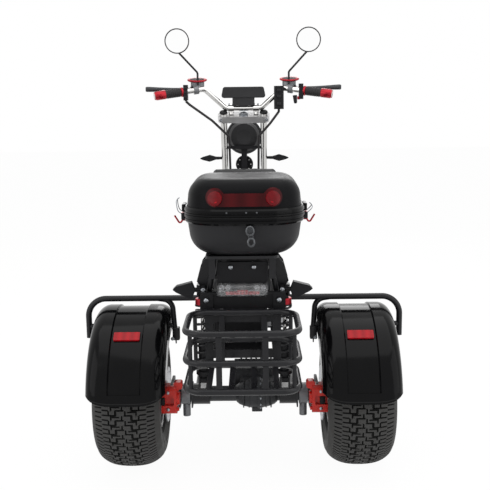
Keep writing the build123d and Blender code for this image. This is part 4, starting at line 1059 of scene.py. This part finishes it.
@dataclass
class Cockpit:
    """Fittings round the handlebar: sleeves, clamp bolts, switch keys, tank lids, levers, and lamp and mirror rims."""

    bar_start: Point = (162.0, 852.0, 1236.0)
    bar_end: Point = (362.0, 792.0, 1208.0)
    rake_deg: float = 27.0
    tube_x: float = 84.0
    fork_top: float = 1003.0
    lamp: Point = (0, 1021, 1034)
    horn: Point = (0, 986, 914)
    tank: Point = (191, 862, 1271)
    tank_lean_deg: float = 20.0
    mirror: Point = (267, 811.2, 1427)
    lever_pivot: Point = (214, 868, 1245.2)
    riser_bolts: tuple[float, ...] = (-60, -44, 44, 60)
    riser_top: Pair = (862, 1170.5)

    def on_bar(self, x: float) -> Vector:
        """The place on the bar's end part at a distance from the middle."""
        start, end = Vector(self.bar_start), Vector(self.bar_end)
        p = start.lerp(end, (abs(x) - start.x) / (end.x - start.x))
        return at(math.copysign(1.0, x) * p.x, p.y, p.z)

    def on_fork(self, x: float, across: float, along: float) -> Vector:
        """A place on the raked fork, from the front axle."""
        a = math.radians(self.rake_deg)
        return at(x, WHEELBASE + across * math.cos(a) - along * math.sin(a),
                  FRONT_Z + across * math.sin(a) + along * math.cos(a))

    def build(self) -> None:
        """Makes every fitting."""
        self.grips()
        self.clamp()
        self.switches()
        self.lamp_and_horn()
        self.tank_lids()
        self.levers()
        self.mirror_rims()

    def grips(self) -> None:
        """Red sleeves at both ends of each grip and ribs on the rubber between them."""
        red, rubber = bmesh.new(), bmesh.new()
        for side in SIDES:
            inner, outer = self.on_bar(side * 250), self.on_bar(side * 362)
            way = (outer - inner).normalized()
            length = (outer - inner).length / MM
            turned(red, [(length - 46, 17.1), (length - 44, 18.4), (length - 8, 18.4), (length - 2, 15), (length, 8)],
                   inner, way)
            turned(red, [(-2, 15), (-1, 20), (6, 20), (8, 17.2)], inner, way)
            for along in range(12, 61, 8):
                turned(rubber, [(along, 17.0), (along + 1, 18.0), (along + 5, 18.0), (along + 6, 17.0)], inner, way, 28)
        piece("grip_sleeves", red, ANODISED_RED, Body.STEERING)
        piece("grip_ribs", rubber, GRIP_RUBBER, Body.STEERING)

    def clamp(self) -> None:
        """Black caps on the fork tubes, and the bolts of the upper clamp and its risers."""
        caps, bolts = bmesh.new(), bmesh.new()
        way = (self.on_fork(0, 0, 100) - self.on_fork(0, 0, 0)).normalized()
        behind = self.on_fork(0, -1, 0) - self.on_fork(0, 0, 0)
        for side in SIDES:
            x = side * self.tube_x
            turned(caps, [(0, 16.5), (5, 16.5), (8, 14), (8.5, 6)], self.on_fork(x, 0, self.fork_top + 7), way, 28)
            hex_bolt(bolts, self.on_fork(x + side * 12, -24.2, self.fork_top - 14), behind, 10.0, 6.0)
        for x in self.riser_bolts:
            hex_bolt(bolts, at(x, *self.riser_top), UP, 7.0, 5.0)
        hex_bolt(bolts, self.on_fork(0, 0, self.fork_top + 0.2), way, 30.0, 9.0)
        piece("fork_tube_caps", caps, FINE_SHELL, Body.STEERING)
        piece("clamp_bolts", bolts, ZINC, Body.STEERING)

    def switches(self) -> None:
        """Keys on the switch boxes, a thumb wheel and a red latch at the throttle, and the levers' pivot bolts."""
        keys, bolts, red = bmesh.new(), bmesh.new(), bmesh.new()
        for z in (1240, 1222, 1203):
            slab(keys, at(-243, 802.5, z - 4), at(-231, 807.5, z + 4), 1.2)
        for z in (1226, 1202, 1172):
            slab(keys, at(137, 807.5, z - 6), at(155, 813.5, z + 6), 1.6)
        turned(keys, [(0, 9), (30, 7), (34, 4)], at(212, 832, 1206), Vector((0.1, 0, -1)), 20)
        slab(red, at(222, 818, 1188), at(234, 836, 1202), 3.0)
        x, y, z = self.lever_pivot
        for side in SIDES:
            hex_bolt(bolts, at(side * x, y, z), UP, 10.0, 4.0)
        piece("switch_keys", keys, FRAME_BLACK, Body.STEERING)
        piece("throttle_latch", red, ANODISED_RED, Body.STEERING)
        piece("lever_bolts", bolts, ZINC, Body.STEERING)

    def lamp_and_horn(self) -> None:
        """The headlight's bright rim, dark skirt and side bolts, and the horn's ribbed back with its screws."""
        rim, horn, skirt = bmesh.new(), bmesh.new(), bmesh.new()
        _, lamp_y, lamp_z = self.lamp
        turned(rim, [(6, 62), (6, 70), (11, 77), (14, 76), (13, 66), (13, 62)], at(*self.lamp), AHEAD, 48, ring=True)
        turned(skirt, [(-12, 67.3), (-8, 71), (-1, 77), (6, 78.8), (10.5, 78), (6.5, 70.2), (-4, 69), (-10, 67)],
               at(*self.lamp), AHEAD, 56, ring=True)
        for side in SIDES:
            hex_bolt(rim, at(side * 76, lamp_y - 17, lamp_z), Vector((side, 0, 0)), 11.0, 6.0)
        back = at(*self.horn)
        for r in (32, 22):
            turned(horn, [(0, r - 2.5), (-2.5, r - 1.5), (-2.5, r + 1.5), (0, r + 2.5)], back, AHEAD, 40, ring=True)
        for c, s in spokes(8):
            turned(rim, [(0, 2.6), (2, 2.6), (3, 1.2)], back + Vector((27 * MM * c, 0, 27 * MM * s)), BACK, 10)
        piece("lamp_rim", rim, CHROME, Body.STEERING)
        piece("lamp_skirt", skirt, FINE_SHELL, Body.STEERING)
        piece("horn_ribs", horn, FINE_SHELL, Body.STEERING)

    def lid_ring(self, side: int, half_x: float, half_y: float, rise: float) -> Loop:
        """One oval of a tank's lid at a height above the lid's middle plane."""
        x, y, z = self.tank
        lean = math.radians(self.tank_lean_deg)
        return [at(side * x + half_x * c, y + half_y * s * math.cos(lean) - rise * math.sin(lean),
                   z + half_y * s * math.sin(lean) + rise * math.cos(lean)) for c, s in spokes(36)]

    def tank_lids(self) -> None:
        """Oval lids on the fluid tanks, leaning so that the rider sees them."""
        lids, insets = bmesh.new(), bmesh.new()
        for side in SIDES:
            for mesh, ovals in ((lids, ((34, 18, -4), (39, 23, -1), (41, 25, 1), (41, 25, 4), (39, 23, 5.5),
                                        (33, 17, 5.6))), (insets, ((31, 15, 5), (30, 14, 6.4), (26, 11, 6.6)))):
                skin(mesh, [self.lid_ring(side, *oval) for oval in ovals])
        piece("tank_lids", lids, ANODISED_RED, Body.STEERING, instead_of="tank_caps")
        piece("tank_lid_insets", insets, FINE_SHELL, Body.STEERING)

    def levers(self) -> None:
        """Flat cast levers: a pivot block and a blade that widens towards its end."""
        mesh = bmesh.new()
        stations = ((214, 872, 1235, 5, 6), (240, 874, 1235, 5, 7.5), (300, 872, 1235, 5, 8), (350, 860, 1236, 5, 9),
                    (390, 848, 1237, 5, 10.5), (400, 845, 1237, 4.5, 10.5), (404, 843.5, 1237, 2.5, 8))
        for side in SIDES:
            slab(mesh, at(side * 206, 858, 1224), at(side * 222, 878, 1245.7), 4)
            skin(mesh, [[at(side * x, y + deep * c, z + high * s) for c, s in spokes(16)]
                        for x, y, z, deep, high in stations])
        piece("lever_blades", mesh, LEVER_GREY, Body.STEERING, instead_of="brake_levers")

    def mirror_rims(self) -> None:
        """Thin dark rims round the mirror glasses."""
        rims = bmesh.new()
        x, y, z = self.mirror
        for side in SIDES:
            turned(rims, [(0, 46), (-1.6, 47), (-1.6, 49), (0, 50.2), (4, 50.2), (4, 46)], at(side * x, y, z), AHEAD,
                   64, ring=True)
        piece("mirror_rims", rims, FRAME_BLACK, Body.STEERING)


# Scene


def looked_at(tree: Tree, *rays: str) -> Socket:
    """1 for the named kinds of ray, otherwise 0."""
    path = add_node(tree, "ShaderNodeLightPath")
    level = path.outputs[rays[0]]
    for name in rays[1:]:
        level = add_node(tree, "ShaderNodeMath", {0: level, 1: path.outputs[name]}, operation="MAXIMUM").outputs[0]
    return level


@dataclass
class Studio:
    """The plain pale floor, soft lamps, white surroundings and the camera behind the trike."""

    camera_place: Point = (0.0289, -3.0345, 1.1524)
    pan: float = 0.0089
    tilt_deg: float = 80.28
    roll: float = -0.0122
    lens_mm: float = 58.36
    sensor_mm: float = 36.0
    floor_m: float = 40.0
    # How much of the floor's own white reaches the eye in place of its lit colour.
    floor_white: float = 0.96

    def build(self) -> None:
        """Makes floor, light and camera."""
        self.floor()
        self.lamps()
        self.surroundings()
        self.camera()
        bpy.context.scene.view_settings.view_transform = "Standard"

    def floor(self) -> None:
        """A matt white board under the wheels, which still takes the shadow."""
        bpy.ops.mesh.primitive_plane_add(size=self.floor_m)
        board = bpy.context.active_object
        board.name = "studio_floor"
        material = bpy.data.materials.new("matt_white_board")
        tree = cleared(material)
        seen = looked_at(tree, "Is Camera Ray", "Is Glossy Ray")
        matt = add_node(tree, "ShaderNodeBsdfDiffuse", {"Color": linear("#f4f4f4")})
        white = add_node(tree, "ShaderNodeEmission", {"Color": linear("#ffffff"), "Strength": 1.0})
        part = add_node(tree, "ShaderNodeMath", {0: seen, 1: self.floor_white}, operation="MULTIPLY")
        mix = add_node(tree, "ShaderNodeMixShader", {0: part.outputs[0], 1: matt.outputs[0], 2: white.outputs[0]})
        add_node(tree, "ShaderNodeOutputMaterial", {"Surface": mix.outputs[0]})
        board.data.materials.append(material)

    def lamps(self) -> None:
        """A broad lamp overhead, one behind the camera on each side and a smaller one in front of the trike."""
        for name, place, size, watts in (
                ("overhead", (0.3, -0.6, 3.4), 3.6, 60.0), ("left", (-2.8, -2.6, 2.2), 3.2, 42.0),
                ("right", (2.9, -2.2, 1.8), 3.2, 34.0), ("front", (0.2, 3.4, 2.4), 2.0, 30.0)):
            lamp = bpy.data.lights.new(name, "AREA")
            lamp.size, lamp.energy = size, watts
            holder = bpy.data.objects.new(name, lamp)
            holder.location = place
            way = Vector((0, 0, 0.6)) - Vector(place)
            holder.rotation_euler = way.to_track_quat("-Z", "Y").to_euler()
            bpy.context.collection.objects.link(holder)

    def surroundings(self) -> None:
        """White to the eye and in reflections, softer as a source of light."""
        world = bpy.data.worlds.new("studio")
        bpy.context.scene.world = world
        tree = cleared(world)
        seen = looked_at(tree, "Is Camera Ray", "Is Glossy Ray", "Is Transmission Ray")
        level = add_node(tree, "ShaderNodeMapRange", {"Value": seen, "To Min": 0.75, "To Max": 1.0})
        light = add_node(tree, "ShaderNodeBackground", {"Color": linear("#ffffff"), "Strength": level.outputs[0]})
        add_node(tree, "ShaderNodeOutputWorld", {"Surface": light.outputs[0]})

    def camera(self) -> None:
        """The photograph's view from behind, slightly above."""
        data = bpy.data.cameras.new("view_from_behind")
        data.sensor_width, data.lens = self.sensor_mm, self.lens_mm
        camera = bpy.data.objects.new("view_from_behind", data)
        turn = (Matrix.Rotation(self.pan, 4, "Z") @ Matrix.Rotation(math.radians(self.tilt_deg), 4, "X")
                @ Matrix.Rotation(self.roll, 4, "Z"))
        camera.matrix_world = Matrix.Translation(Vector(self.camera_place)) @ turn
        bpy.context.collection.objects.link(camera)
        bpy.context.scene.camera = camera


def dress_solids() -> None:
    """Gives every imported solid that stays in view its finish."""
    for finish, nodes in NODES_IN.items():
        for node in nodes:
            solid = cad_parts[node]
            solid.data.materials.clear()
            solid.data.materials.append(finish.material())
            log.info("%s is dressed in %s", node, finish.name)


def main() -> None:
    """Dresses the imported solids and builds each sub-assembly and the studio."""
    logging.basicConfig(level=logging.INFO, format="%(name)s: %(message)s")
    dress_solids()
    for part in (Wheels, CoilShocks, AxleFittings, FenderLips, Tail, LuggageCase, Seating, Cockpit, Studio):
        part().build()
        log.info("%s is done", part.__name__)


if __name__ == "__main__":
    main()
